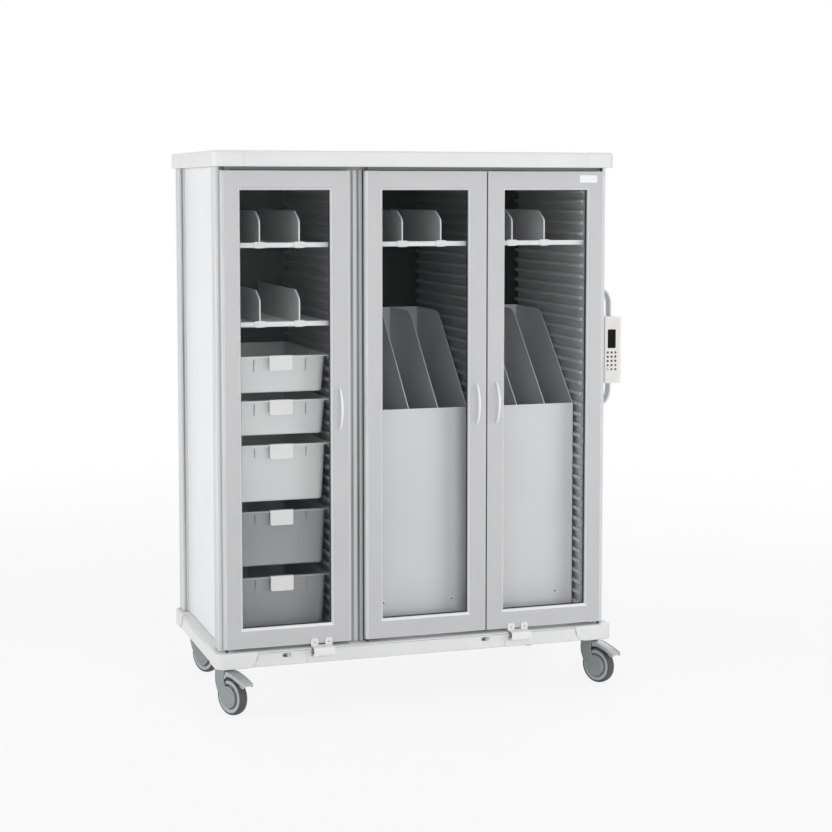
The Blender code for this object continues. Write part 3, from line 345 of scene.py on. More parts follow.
# The ribbed plastic is one material in two copies: a darker one as painted shade and a lighter one as
# painted light.
RIB_PAINTED_SHADE = finish("rib_plastic_painted_shade", (156, 158, 159), (148, 150, 152), 0.50, **RIBBED)
RIB_PAINTED_LIGHT = finish("rib_plastic_painted_light", (214, 215, 215), (206, 207, 208), 0.50, **RIBBED)
PANE_CLEAR = finish("pane_clear", (70, 74, 74), (64, 68, 68), 0.04, spread=0.01, height=0.000002,
                    Alpha=0.04)
SEAL_GREY = finish("seal_grey", (134, 136, 138), (126, 128, 130), 0.60, patch=20.0)
GASKET_DARK = finish("gasket_dark", (52, 53, 54), (44, 45, 46), 0.70, patch=40.0)
print("finishes so far:", len(bpy.data.materials))

# %% Finishes of the inserts
# The lighter extra tones of these finishes are painted highlights on rims and edges.
TRAY_PLASTIC = finish("tray_plastic", (240, 241, 241), (234, 235, 236), 0.44, grain=800.0,
                      painted_light_tone=(247, 247, 247))
LABEL_WHITE = finish("label_white", (246, 246, 246), (240, 240, 241), 0.40, painted_light_tone=(250, 250, 250))
BIN_SATIN = finish("bin_satin", (228, 229, 230), (221, 222, 224), 0.40, patch=3.0, painted_light_tone=(244, 244, 244))
DIVIDER_CLEAR = finish("divider_clear", (238, 240, 240), (230, 232, 233), 0.20, spread=0.04,
                       painted_light_tone=(246, 246, 246), Alpha=0.80)
SMOKE_CLEAR = finish("smoke_clear", (238, 241, 242), (228, 232, 234), 0.16, spread=0.04,
                     painted_light_tone=(246, 247, 248), Alpha=0.35)
print("finishes so far:", len(bpy.data.materials))

# %% Finishes of the casters and fittings
# The lighter extra tones of these finishes are painted highlights on edges.
CASTER_GREY = finish("caster_grey", (150, 155, 158), (140, 146, 149), 0.45, patch=20.0,
                     painted_light_tone=(172, 176, 178))
RIM_GREY = finish("rim_grey", (184, 189, 191), (175, 180, 183), 0.42, patch=20.0)
# The pedals are a lighter copy of the caster grey: a painted highlight on their lit tops.
PEDAL_PAINTED_HIGHLIGHT = finish("pedal_grey_painted_highlight", (184, 189, 192), (174, 180, 183), 0.40, patch=20.0,
                    painted_light_tone=(204, 207, 209))
TYRE_RUBBER = finish("tyre_rubber", (84, 88, 90), (72, 76, 78), 0.68, patch=40.0, grain=1200.0,
                     height=0.0001, painted_light_tone=(104, 107, 108))
HANDLE_GREY = finish("handle_grey", (218, 220, 221), (210, 212, 214), 0.32, painted_light_tone=(232, 233, 234))
BOW_WHITE = finish("bow_white", (246, 246, 247), (240, 240, 242), 0.30)
BRIGHT_STEEL = finish("bright_steel", (196, 196, 194), (180, 180, 179), 0.26, patch=80.0, Metallic=1.0)
DARK_STEEL = finish("dark_steel", (70, 71, 72), (58, 59, 60), 0.40, patch=80.0, Metallic=0.7)
LOCK_GREY = finish("lock_grey", (126, 128, 130), (116, 118, 120), 0.40, patch=80.0)
KEYPAD_SHELL = finish("keypad_shell", (230, 230, 228), (224, 224, 222), 0.40, painted_light_tone=(242, 242, 240))
MEMBRANE = finish("membrane", (228, 227, 222), (222, 221, 216), 0.50, patch=30.0)
SCREEN_BLACK = finish("screen_black", (10, 10, 11), (14, 14, 15), 0.35, spread=0.03, patch=30.0,
                      Specular_IOR_Level=0.06)
KEY_DARK = finish("key_dark", (48, 50, 46), (40, 42, 39), 0.45, patch=200.0)
KEY_BLUE = finish("key_blue", (84, 92, 150), (76, 84, 140), 0.45, patch=200.0)
KEY_PALE = finish("key_pale", (188, 188, 184), (182, 182, 178), 0.45, patch=200.0)
print("finishes:", len(bpy.data.materials))

# %% [markdown]
# ## Grids
# Every new surface here is a grid of points: rows run one way over the piece, columns the other. Such a
# grid could be drawn by hand and subdivided, but worked out with arrays it follows the CAD sizes exactly.
# Joining neighbouring points gives four-sided faces, and rows that close on themselves give tubes.

# %% Grids into objects
MERGE_DISTANCE = 0.000002


def woven(grid, loop=False, painted_light=0.0):
    """Joins neighbouring grid points by quads, and closes every row on itself. loop joins the last row to
    the first; otherwise these two are filled with one face each. painted_light is kept for each point: the
    share in which a finish's painted light tone shows, a painted highlight on edges and painted shade in
    flutes."""
    rows, columns = grid.shape[:2]
    number = np.arange(rows * columns).reshape(rows, columns)
    caps = [] if loop else [number[0, ::-1], number[-1]]
    if loop:
        number = np.vstack([number, number[:1]])
    number = np.hstack([number, number[:, :1]])
    quads = np.stack([number[:-1, :-1], number[:-1, 1:], number[1:, 1:], number[1:, :-1]], -1)
    painted_light_layer = np.broadcast_to(painted_light, (rows, columns)).reshape(-1)
    return grid.reshape(-1, 3), quads.reshape(-1, 4), caps, painted_light_layer


def piece(name, shells, coat, body, stands_for=(), crease=38):
    """One object from several shells: their points are strung together, doubles merged, faces turned
    outwards and shaded smooth up to the crease angle. It then rides on a body of the frame."""
    starts = np.cumsum([0] + [len(shell[0]) for shell in shells])
    faces = []
    for start, (_, quads, caps, _) in zip(starts, shells):
        faces += (quads + start).tolist() + [(cap + start).tolist() for cap in caps]
    mesh = bpy.data.meshes.new(name)
    mesh.from_pydata(np.concatenate([shell[0] for shell in shells]).tolist(), [], faces)
    painted_light_layer = mesh.attributes.new("painted_light", "FLOAT", "POINT")
    painted_light_layer.data.foreach_set("value", np.concatenate([shell[3] for shell in shells]).astype(np.float32))
    work = bmesh.new()
    work.from_mesh(mesh)
    bmesh.ops.remove_doubles(work, verts=work.verts, dist=MERGE_DISTANCE)
    bmesh.ops.recalc_face_normals(work, faces=work.faces)
    work.to_mesh(mesh)
    work.free()
    mesh.polygons.foreach_set("use_smooth", np.ones(len(mesh.polygons), dtype=bool))
    mesh.set_sharp_from_angle(angle=math.radians(crease))
    mesh.materials.append(coat)
    thing = bpy.data.objects.new(name, mesh)
    bpy.context.scene.collection.objects.link(thing)
    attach(thing, body)
    if stands_for:
        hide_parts(*stands_for)
    print(name, "-", len(mesh.polygons), "faces, rides on", body)


def coated(nodes, coat):
    """Keeps CAD nodes as they are and gives them a finish."""
    for node in nodes:
        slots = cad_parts[node].data.materials
        slots.clear()
        slots.append(coat)
    print(coat.name, "on", ", ".join(nodes))


def box_of(node):
    """Lowest and highest corner of a CAD node, as arrays."""
    low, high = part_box(node)
    return np.array(low), np.array(high)


print("the cover lies between", *[corner.round(3).tolist() for corner in box_of("top_cover")])

# %% [markdown]
# ## Outlines
# Most pieces start as a flat outline: a polygon with softened corners, or a rectangle with round ones. A
# curve object could hold it, but as an array an outline can be drawn in, stood on any axis and stacked
# into rows. A rounded edge is then a few rows, each drawn in a little less than the one before.

# %% Outlines
EDGE_STEPS = 5


def stood(flat, along, axis):
    """Puts flat points (first, second) at a distance along an axis: x takes (y, z), y (x, z), z (x, y)."""
    first, second = flat[..., 0], flat[..., 1]
    along = np.broadcast_to(along, first.shape)
    order = {"x": (along, first, second), "y": (first, along, second), "z": (first, second, along)}
    return np.stack(order[axis], -1)


def softened(corners, radius, steps=5):
    """Rounds a polygon: each corner P becomes the curve (1-s)^2 A + 2s(1-s) P + s^2 B, where A and B lie
    the radius away from P on its two sides."""
    corner = np.asarray(corners, float)
    reach = np.broadcast_to(radius, len(corner))[:, None]
    before, after = np.roll(corner, 1, 0) - corner, np.roll(corner, -1, 0) - corner
    a = corner + reach * before / np.linalg.norm(before, axis=1, keepdims=True)
    b = corner + reach * after / np.linalg.norm(after, axis=1, keepdims=True)
    s = np.linspace(0, 1, steps + 1)[None, :, None]
    curve = (1 - s) ** 2 * a[:, None] + 2 * s * (1 - s) * corner[:, None] + s ** 2 * b[:, None]
    return curve.reshape(-1, 2)


def oblong(left, low, right, high, radius, steps=5):
    """Rectangle with true quarter-circle corners, counter-clockwise from its lower left."""
    centre = np.array([[left + radius, low + radius], [right - radius, low + radius],
                       [right - radius, high - radius], [left + radius, high - radius]])
    turn = np.linspace(0, np.pi / 2, steps + 1)[None] + np.pi * np.array([1.0, 1.5, 0.0, 0.5])[:, None]
    arc = np.stack([np.cos(turn), np.sin(turn)], -1) * radius
    return (centre[:, None] + arc).reshape(-1, 2)


def oval(half_width, half_depth, steps):
    """Ellipse about the origin: (half width cos t, half depth sin t) for t all the way round."""
    turn = np.linspace(0, 2 * np.pi, steps, endpoint=False)
    return np.stack([half_width * np.cos(turn), half_depth * np.sin(turn)], 1)


def inset(outline, distance):
    """Moves every side of a counter-clockwise outline inwards; each point goes along its mitre."""
    ahead = np.roll(outline, -1, 0) - outline
    ahead = ahead / np.maximum(np.linalg.norm(ahead, axis=1, keepdims=True), 1e-9)
    inward = np.stack([-ahead[:, 1], ahead[:, 0]], 1)
    before = np.roll(inward, 1, 0)
    mitre = (inward + before) / (1 + (inward * before).sum(1, keepdims=True))
    return outline + np.reshape(distance, (-1, 1)) * mitre


def quarter_round(radius, steps=EDGE_STEPS):
    """Rounded edge as rows of (drawn in, along): radius (1 - sin t) in and radius (1 - cos t) along, for t
    from 0 on the end face to a quarter circle at the side."""
    turn = np.linspace(0, np.pi / 2, steps + 1)
    return radius * np.stack([1 - np.sin(turn), 1 - np.cos(turn)], 1)


print("a 4 mm edge in rows:", np.round(quarter_round(0.004), 4).tolist())

# %% [markdown]
# ## Slabs, turned and swept shapes
# A plate is an outline carried along an axis, a wheel or a screw a profile turned about one, and a handle a
# section swept along a path. Blender has Solidify, Screw and curve bevels for these. Three short functions
# do the same here, and leave every point where the drawing puts it.

# %% Slabs, turned and swept shapes
# Shares of a screw's radius and of its rise, and how far its foot is sunk.
SOCKET_FLOOR, SOCKET_RIM, DOME_START = 0.04, 0.36, 0.38
FLOOR_DROP, RIM_DROP = 0.2, 0.1
SCREW_SUNK = 0.001


def slab(outline, axis, low, high, edge=0.001, steps=3):
    """Carries an outline along an axis and rounds both rims by quarter rounds. One more row on each end
    face, drawn in by twice the edge, keeps the shading of that face flat."""
    x, y = outline[:, 0], outline[:, 1]
    if (x * np.roll(y, -1) - y * np.roll(x, -1)).sum() < 0:
        outline = outline[::-1]
    shrink, rise = np.vstack([[(2 * edge, 0)], quarter_round(edge, steps)]).T
    shrink = np.concatenate([shrink, shrink[::-1]])
    along = np.concatenate([low + rise, (high - rise)[::-1]])
    rings = [stood(inset(outline, distance), place, axis) for distance, place in zip(shrink, along)]
    # Painted highlight: all rows but the two inner end rings take the finish's lighter edge tone.
    painted_light = np.ones((len(rings), 1))
    painted_light[[0, -1]] = 0
    return woven(np.stack(rings), painted_light=painted_light)


def turned(profile, centre, axis, steps=32, closed=False):
    """Turns a profile of (radius, place along the axis) about a unit axis, along x, y or z, through centre:
    at turn t a point lies its radius out along cos t times one side direction plus sin t times another."""
    profile = np.asarray(profile, float)
    axis = np.asarray(axis, float)
    side = np.cross(axis, (1, 0, 0) if axis[2] else (0, 0, 1))
    turn = np.linspace(0, 2 * np.pi, steps, endpoint=False)[None, :, None]
    spoke = np.cos(turn) * side + np.sin(turn) * np.cross(axis, side)
    grid = np.asarray(centre) + profile[:, None, :1] * spoke + profile[:, None, 1:] * axis
    return woven(grid, loop=closed)


def swept(path, sections, side):
    """Carries sections of (across, outwards) along a flat path; side is the normal of the path's plane.
    One section serves the whole path, or there is one for each of its points."""
    ahead = np.gradient(path, axis=0)
    ahead = ahead / np.linalg.norm(ahead, axis=1, keepdims=True)
    side = np.asarray(side, float)
    out = np.cross(ahead, side)
    return woven(path[:, None] + sections[..., :1] * side + sections[..., 1:] * out[:, None])


def screw(centre, axis, radius, rise=0.0014):
    """Pan-head screw: a low dome of radius (r, rise (1 - (r/radius)^2)) with a turned socket in it."""
    r = np.linspace(DOME_START, 1.0, 6)
    dome = np.stack([r * radius, rise * (1 - r ** 2)], 1)
    socket = [(SOCKET_FLOOR * radius, -FLOOR_DROP * rise), (SOCKET_RIM * radius, -RIM_DROP * rise)]
    foot = [(radius, -SCREW_SUNK), (SOCKET_FLOOR * radius, -SCREW_SUNK)]
    return turned(np.vstack([socket, dome, foot]), centre, axis, steps=20)


print("a 4 mm screw head has", len(screw((0, 0, 0), (0, -1, 0), 0.004)[1]), "faces")

# %% [markdown]
# ## Top cover
# The cover is one hollow moulding with a soft top edge and four corner caps, whose seams show as fine
# upright lines. It could be a bevelled box, but a profile carried round the rim lets the seams be real
# grooves: at a seam the whole profile steps in by about a millimetre.

# %% Rim outlines
def rim_outline(low, high, radius, stops, steps=8):
    """Rounded rectangle seen from above whose four sides also have points at the given stops, in the
    order front, right, back, left."""
    left, front, right, back = low[0], low[1], high[0], high[1]
    arcs = oblong(left, front, right, back, radius, steps).reshape(4, -1, 2)
    ways = [(0, 1, front), (1, 1, right), (0, -1, back), (1, -1, left)]
    parts = []
    for arc, (axis, way, fixed), stop in zip(arcs, ways, stops):
        run = np.sort(np.asarray(stop, float))[::way]
        flat = np.full((len(run), 2), fixed)
        flat[:, axis] = run
        parts += [arc, flat]
    return np.vstack(parts)


def rim_rows(rows):
    """Stacks (outline, height) pairs into a grid."""
    return np.stack([stood(outline, z, "z") for outline, z in rows])


print("a rim without stops has", len(rim_outline((0, 0), (1, 1), 0.1, [[]] * 4)), "points")

# %% Top cover
COVER_CORNER = 0.028
COVER_LOWER_EDGE, COVER_UPPER_EDGE = 0.003, 0.008
COVER_HOLLOW, COVER_ROOF = 0.075, 0.012
SEAM_FROM_CORNER = 0.102
SEAM_HALF, SEAM_DEPTH = 0.0009, 0.0012
SIDE_START = 0.001
TOP_RINGS = np.array([1.1, 2.0]) * COVER_UPPER_EDGE
# Rows in the middle of the soft top edge, counted from the last row, painted lighter as a painted
# highlight.
COVER_PAINTED_HIGHLIGHT = slice(-6, -3)


def make_cover():
    """Cover: roof of the hollow, hollow wall, underside, rounded lower edge, side, soft top edge, top. The
    points on the middle of a seam are drawn in further by its depth."""
    low, high = box_of("top_cover")
    seam_steps = np.array([-SEAM_HALF, 0.0, SEAM_HALF])
    stops = []
    for axis in (0, 1, 0, 1):
        ends = [low[axis] + SEAM_FROM_CORNER, high[axis] - SEAM_FROM_CORNER]
        stops.append(np.concatenate([end + seam_steps for end in ends]))
    outline = rim_outline(low, high, COVER_CORNER, stops)
    centres = np.concatenate([stop[[1, 4]] for stop in stops])
    groove = SEAM_DEPTH * np.isclose(outline[:, :, None], centres).any((1, 2))
    mouth = np.clip(outline, low[:2] + COVER_HOLLOW, high[:2] - COVER_HOLLOW)
    side = (low[2] + COVER_LOWER_EDGE + SIDE_START, high[2] - COVER_UPPER_EDGE - SIDE_START)
    rows = [(mouth, high[2] - COVER_ROOF), (mouth, low[2])]
    rows += [(inset(outline, tuck + groove), low[2] + up) for tuck, up in quarter_round(COVER_LOWER_EDGE)]
    rows += [(inset(outline, groove), z) for z in side]
    rows += [(inset(outline, tuck + groove), high[2] - down)
             for tuck, down in quarter_round(COVER_UPPER_EDGE)[::-1]]
    rows += [(inset(outline, tuck + groove), high[2]) for tuck in TOP_RINGS]
    painted_light = np.zeros((len(rows), 1))
    painted_light[COVER_PAINTED_HIGHLIGHT] = 1
    piece("cover_shell", [woven(rim_rows(rows), painted_light=painted_light)], MOULDED_WHITE, "cabinet",
          ["top_cover"])


make_cover()

# %% [markdown]
# ## Base
# The base is a deep moulded frame with the lock recesses in its front, a notch for each hasp and four
# corner caps. The body is again a profile carried round the rim. Boolean cuts could make the recesses and
# notches, but they leave ragged faces; pushing back the grid points that lie inside them keeps the surface
# in one piece. The bore that each lock's bolt slides in is pushed sideways into the notch's wall in the
# same way. The caps are thin shells whose two ends follow the curved seam: upright at first, then a
# quarter circle towards the corner.

# %% Places on the base
LEFT, FRONT = box_of("door_frame_left")[0][:2]
RIGHT = box_of("door_frame_right")[1][0]
BASE_SIDE, BASE_FRONT, BASE_DEPTH = 0.030, 0.020, 0.725
HASP_WIDTH, TAB_INSET = 0.084, 0.006
# Left end of the hasp, middle of the key cylinder, and both ends of the recess, from the doors' left edge.
LOCKS = {"left": (0.285, 0.213, (0.081, 0.276)), "right": (0.9785, 0.906, (0.775, 0.968))}
NOTCH_PLAY, NOTCH_FLOOR, NOTCH_BACK = 0.0025, 0.197, 0.0015
RECESS_MARGIN, RECESS_DEPTH = 0.006, 0.004
BOLT_PLAY = 0.0006

base_low, base_high = box_of("base_chassis")
base_low[:2] = (LEFT - BASE_SIDE, FRONT - BASE_FRONT)
base_high[:2] = (RIGHT + BASE_SIDE, base_low[1] + BASE_DEPTH)
recess_low, recess_high = base_low[2] + RECESS_MARGIN, base_high[2] - RECESS_MARGIN


def front_cuts():
    """For each lock the two sides of its notch, those of its recess, and the box of its bore."""
    cuts = []
    for name, (hasp, _, (recess_left, recess_right)) in LOCKS.items():
        notch = (LEFT + hasp + TAB_INSET - NOTCH_PLAY, LEFT + hasp + HASP_WIDTH - TAB_INSET + NOTCH_PLAY)
        recess = (LEFT + recess_left, LEFT + recess_right)
        bore = np.array(box_of("lock_bolt_" + name)) + BOLT_PLAY * np.array([[-1], [1]])
        cuts.append((notch, recess, bore))
    return cuts


print("base from", base_low.round(3), "to", base_high.round(3))

# %% Hollow of the base
RIM_WIDTH, PAD_WIDTH = 0.034, 0.145


def hollow_outline(outline, low, high):
    """The cross-shaped mouth of the hollow underside, with one point for every point of the outline: the
    way round the rim is divided at twelve places, and each part maps evenly to one side of the cross."""
    x0, x1 = low[0] + RIM_WIDTH, high[0] - RIM_WIDTH
    y0, y1 = low[1] + RIM_WIDTH, high[1] - RIM_WIDTH
    u0, u1 = low[0] + PAD_WIDTH, high[0] - PAD_WIDTH
    v0, v1 = low[1] + PAD_WIDTH, high[1] - PAD_WIDTH
    cross = np.array([(u0, v0), (u0, y0), (u1, y0), (u1, v0), (x1, v0), (x1, v1), (u1, v1), (u1, y1),
                      (u0, y1), (u0, v1), (x0, v1), (x0, v0), (u0, v0)])
    width, depth = high[0] - low[0], high[1] - low[1]
    long_side = [PAD_WIDTH, width - 2 * PAD_WIDTH, PAD_WIDTH]
    short_side = [PAD_WIDTH, depth - 2 * PAD_WIDTH, PAD_WIDTH]
    marks = np.cumsum([0] + 2 * (long_side + short_side))
    across, along = outline[:, 0] - low[0], outline[:, 1] - low[1]
    nearest = np.stack([along, width - across, depth - along, across]).argmin(0)
    walked = np.select([nearest == 0, nearest == 1, nearest == 2],
                       [across, width + along, 2 * width + depth - across], 2 * (width + depth) - along)
    return np.stack([np.interp(walked, marks, cross[:, 0]), np.interp(walked, marks, cross[:, 1])], 1)


print("hollow: rim", RIM_WIDTH, "wide, caster pads", PAD_WIDTH)

# %% Base body
CAP_STEP = 0.0014
BASE_CORNER = 0.027
BASE_LOWER_EDGE, BASE_UPPER_EDGE, BASE_ROOF = 0.003, 0.004, 0.012
TOP_RING = 3 * BASE_UPPER_EDGE
FRONT_SKIN = 0.020
# Columns and rows stand this far to both sides of a cut, and the bore's columns at shares of it.
CUT_STEP = 0.0001
BORE_COLUMNS = CUT_STEP * np.array([-0.6, -0.2, 0.2, 0.6])
WALL_REACH, BORE_REACH = 0.9 * CUT_STEP, 0.4 * CUT_STEP
MOUTH_ROWS = 2
# Rows of the soft top edge, counted from the last row, painted lighter as a painted highlight.
BASE_PAINTED_HIGHLIGHT = slice(-5, -2)


def base_grid(cuts):
    """Base: roof of the hollow, its wall, underside, rounded rim, side rows, soft top edge and top. The
    grid has columns and rows just beside every cut."""
    stops = []
    for notch, recess, _ in cuts:
        stops += [place + side for place in (*notch, *recess) for side in (-CUT_STEP, CUT_STEP)]
        stops += list(notch[0] + BORE_COLUMNS)
    pads_x = [base_low[0] + PAD_WIDTH, base_high[0] - PAD_WIDTH]
    pads_y = [base_low[1] + PAD_WIDTH, base_high[1] - PAD_WIDTH]
    outline = rim_outline(base_low + CAP_STEP, base_high - CAP_STEP, BASE_CORNER,
                          [stops + pads_x, pads_y, pads_x, pads_y])
    mouth = hollow_outline(outline, base_low, base_high)
    bottom, top = base_low[2] + CAP_STEP, base_high[2] - CAP_STEP
    bore_heights = cuts[0][2][:, 2]
    levels = [z + side for z in (NOTCH_FLOOR, recess_low, recess_high, *bore_heights)
              for side in (-CUT_STEP, CUT_STEP)]
    levels += [bottom + BASE_LOWER_EDGE + SIDE_START, top - BASE_UPPER_EDGE - SIDE_START]
    rows = [(mouth, top - BASE_ROOF), (mouth, bottom)]
    rows += [(inset(outline, tuck), bottom + up) for tuck, up in quarter_round(BASE_LOWER_EDGE)]
    rows += [(outline, z) for z in sorted(levels)]
    rows += [(inset(outline, tuck), top - down) for tuck, down in quarter_round(BASE_UPPER_EDGE)[::-1]]
    rows.append((inset(outline, TOP_RING), top))
    return rim_rows(rows)


def make_base_body():
    """Pushes the points of the front back to the floor of a recess or the back of a notch. The columns of
    the notch's wall are spread over its depth, and those in the bore go sideways to the bore's end."""
    cuts = front_cuts()
    grid = base_grid(cuts)
    x, y, z = grid[..., 0], grid[..., 1], grid[..., 2]
    at_front = (y < base_low[1] + FRONT_SKIN) & (np.arange(len(grid)) >= MOUTH_ROWS)[:, None]
    for (notch_left, notch_right), (recess_left, recess_right), bore in cuts:
        from_wall = np.abs(x - notch_left)
        in_recess = (x > recess_left) & (x < recess_right) & (z > recess_low) & (z < recess_high)
        in_notch = (x > notch_left + WALL_REACH) & (x < notch_right) & (z > NOTCH_FLOOR)
        in_wall = at_front & (from_wall < WALL_REACH) & (z > NOTCH_FLOOR)
        in_bore = in_wall & (from_wall < BORE_REACH) & (z > bore[0, 2]) & (z < bore[1, 2])
        depths = [side + step for side in bore[:, 1] for step in (-CUT_STEP, CUT_STEP)]
        y = np.where(in_wall, np.maximum(y, np.interp(x, notch_left + BORE_COLUMNS, depths)), y)
        y = np.where(at_front & in_recess, np.maximum(y, base_low[1] + RECESS_DEPTH), y)
        y = np.where(at_front & in_notch, np.maximum(y, FRONT + NOTCH_BACK), y)
        x = np.where(in_bore, bore[0, 0], x)
    grid[..., 0], grid[..., 1] = x, y
    painted_light = np.zeros((len(grid), 1))
    painted_light[BASE_PAINTED_HIGHLIGHT] = 1
    piece("base_body", [woven(grid, painted_light=painted_light)], MOULDED_WHITE, "cabinet",
          ["base_chassis"])


make_base_body()

# %% Base corner caps
CAP_LENGTH, CAP_SWEEP, CAP_REACH = 0.137, 0.042, 0.012
CAP_CORNER, CAP_EDGE, CAP_SKIN = 0.028, 0.004, 0.0006
SIDE_POINTS, LEG_STEPS, BEND_STEPS = 7, 9, 10
CORNERS = {"front_left": (-1, -1), "front_right": (1, -1), "rear_left": (-1, 1), "rear_right": (1, 1)}


def cap_section():
    """Closed profile of a cap as (distance in from the rim, height): over the top edge, down the side and
    round the lower edge, then back again at the depth of the skin."""
    low, high = base_low[2], base_high[2]
    tuck, fall = quarter_round(CAP_EDGE).T
    side = np.linspace(high - CAP_EDGE, low + CAP_EDGE, SIDE_POINTS + 2)[1:-1]
    outer = np.vstack([[(CAP_REACH, high)], np.stack([tuck, high - fall], 1), np.stack([0 * side, side], 1),
                       np.stack([tuck, low + fall], 1)[::-1], [(CAP_REACH, low)]])
    inner = np.clip(outer + [[CAP_SKIN, 0]], None, CAP_REACH)
    inner[:, 1] = np.clip(inner[:, 1], low + CAP_SKIN, high - CAP_SKIN)
    return np.vstack([outer, inner[::-1]])


def make_cap(name, side, end):
    """Carries the cap's profile along one leg, round the corner and along the other leg. A leg starts at
    the seam, whose distance from the corner is the cap length less a quarter circle at its lower end."""
    depth, z = cap_section().T
    drop = np.clip(base_low[2] + CAP_SWEEP - z, 0, CAP_SWEEP)
    seam = CAP_LENGTH - CAP_SWEEP + np.sqrt(CAP_SWEEP ** 2 - drop ** 2)
    run = seam + (CAP_CORNER - seam) * np.linspace(0, 1, LEG_STEPS + 1)[:-1, None]
    first_leg = np.stack([run, depth + 0 * run], -1)
    angle = np.linspace(0, np.pi / 2, BEND_STEPS + 1)[:, None]
    arm = CAP_CORNER - depth
    bend = np.stack([CAP_CORNER - arm * np.sin(angle), CAP_CORNER - arm * np.cos(angle)], -1)
    second_leg = first_leg[::-1, :, ::-1]
    flat = np.concatenate([first_leg, bend, second_leg])
    corner = np.array([base_low[0] if side < 0 else base_high[0], base_low[1] if end < 0 else base_high[1]])
    place = corner - flat * np.array([side, end])
    grid = np.concatenate([place, np.broadcast_to(z, place.shape[:2])[..., None]], -1)
    piece("base_cap_" + name, [woven(grid)], MOULDED_WHITE, "cabinet",
          ["base_corner_" + name])


for corner_name, (corner_side, corner_end) in CORNERS.items():
    make_cap(corner_name, corner_side, corner_end)

# %% [markdown]
# ## Posts and panels
# The posts are aluminium extrusions: one section, with shallow rounded flutes, pulled to the full height.
# Grooves could be cut into a plain bar, but carrying the section is how they are really made. The beds of
# the flutes carry the point attribute for painted light, and on this metal it paints them darker as painted
# shade. The flat panels that slide into the posts' grooves are right as they are in the CAD model and only
# get their lacquer; the back panel's is painted near black on its inner side as painted shade.

# %% Posts
FLUTE_DEPTH, FLUTE_WIDTH, STEP_FLUTE_WIDTH = 0.003, 0.013, 0.012
CORNER_BEDS, STEP_BEDS, MIDDLE_BEDS = (-0.017, 0.0, 0.017), (0.0,), (-0.011, 0.011)
POST_SOFT, POST_SOFT_STEPS = 0.003, 4
PANEL_SLOT, PANEL_SLOT_DEPTH = (0.0222, 0.0268), 0.006


def fluted(start, end, beds, width, samples=61):
    """Depth of flutes along an edge, with their beds given from its middle: a raised cosine, 0 at each
    flute's sides and full in its bed."""
    place = np.linspace(start, end, samples)
    middle = (start + end) / 2
    away = np.abs(place[:, None] - (middle + np.array(beds))) / (width / 2)
    depth = FLUTE_DEPTH * (0.5 + 0.5 * np.cos(np.pi * np.clip(away, 0, 1))).max(1)
    return place, depth


def make_post(name, plan, depth, coat):
    """Pulls a plan up to the height of the CAD post; depth tells how deep in a flute each point lies, and
    that share of the finish's dark tone is painted shade.
    """
    low, high = box_of(name)
    grid = rim_rows([(plan, low[2]), (plan, high[2])])
    piece("fluted_" + name, [woven(grid, painted_light=depth / FLUTE_DEPTH)], coat, "cabinet",
          [name])


def make_corner_post(end, side):
    """Corner post: three flutes outside, one on the face beside the panel, and the slot for the panel. The
    plan is drawn from the post's outer corner and turned to the cart's corner that the post stands in."""
    name = f"post_{end}_{side}"
    low, high = box_of(name)
    width, deep = high[0] - low[0], high[1] - low[1]
    slot_low, slot_high = PANEL_SLOT
    slot_bed = deep - PANEL_SLOT_DEPTH
    place, depth = fluted(POST_SOFT, deep - POST_SOFT, CORNER_BEDS, FLUTE_WIDTH)
    step, step_depth = fluted(POST_SOFT, slot_low, STEP_BEDS, STEP_FLUTE_WIDTH, samples=31)
    near = quarter_round(POST_SOFT, POST_SOFT_STEPS)[1:-1]
    far = (0, deep) + near[:, ::-1] * (1, -1)
    rest = [(slot_low, slot_bed), (slot_high, slot_bed), (slot_high, deep), (width, deep), (width, 0),
            (POST_SOFT, 0)]
    plan = np.vstack([near, np.stack([depth, place], 1), far, np.stack([step, deep - step_depth], 1), rest])
    level = np.zeros(len(near))
    depths = np.concatenate([level, depth, level, step_depth, np.zeros(len(rest))])
    corner = np.array([low[0] if side == "left" else high[0], low[1] if end == "front" else high[1]])
    way = np.array([1 if side == "left" else -1, 1 if end == "front" else -1])
    make_post(name, corner + plan * way, depths, ANODISED)


def make_middle_post():
    """Post between the bays: two flutes across its front."""
    low, high = box_of("post_mid")
    place, depth = fluted(low[0], high[0], MIDDLE_BEDS, FLUTE_WIDTH)
    plan = np.vstack([np.stack([place, low[1] + depth], 1), [(high[0], high[1]), (low[0], high[1])]])
    # The middle post takes the darker copy of the anodised finish as painted shade.
    make_post("post_mid", plan, np.append(depth, [0, 0]), POST_SHADE)


for post_end in ("front", "rear"):
    for post_side in ("left", "right"):
        make_corner_post(post_end, post_side)
make_middle_post()

# %% Panels and ribbed walls
coated(["side_panel_left", "side_panel_right"], PANEL_LACQUER)
# The back panel's inner side is painted near black as painted shade.
coated(["back_panel"], BACK_LACQUER)
# Left liner and partitions take the painted shade copy of the ribbed plastic, the right liner the painted
# light copy.
coated(["liner_left", "partition_left", "partition_middle"], RIB_PAINTED_SHADE)
coated(["liner_right"], RIB_PAINTED_LIGHT)

# %% [markdown]
# ## Doors
# Each door is a frame with a round hinge edge, soft outer edges and a bevel around its window. Four mitred
# bars could make it, but then the corners would need trimming. A frame is also a section carried round a
# rectangle, so a row here is one rectangle: the outer one drawn in by a few millimetres, or the window's
# drawn out. On the hinge side the edge is a full half circle.

# %% Door frames
PANE_LAP, WINDOW_BEVEL = 0.0057, 0.008
DOOR_SOFT, DOOR_CORNER, WINDOW_CORNER = 0.004, 0.004, 0.0015
EDGE_ROWS, PAINTED_HIGHLIGHT_ROWS = 13, 4
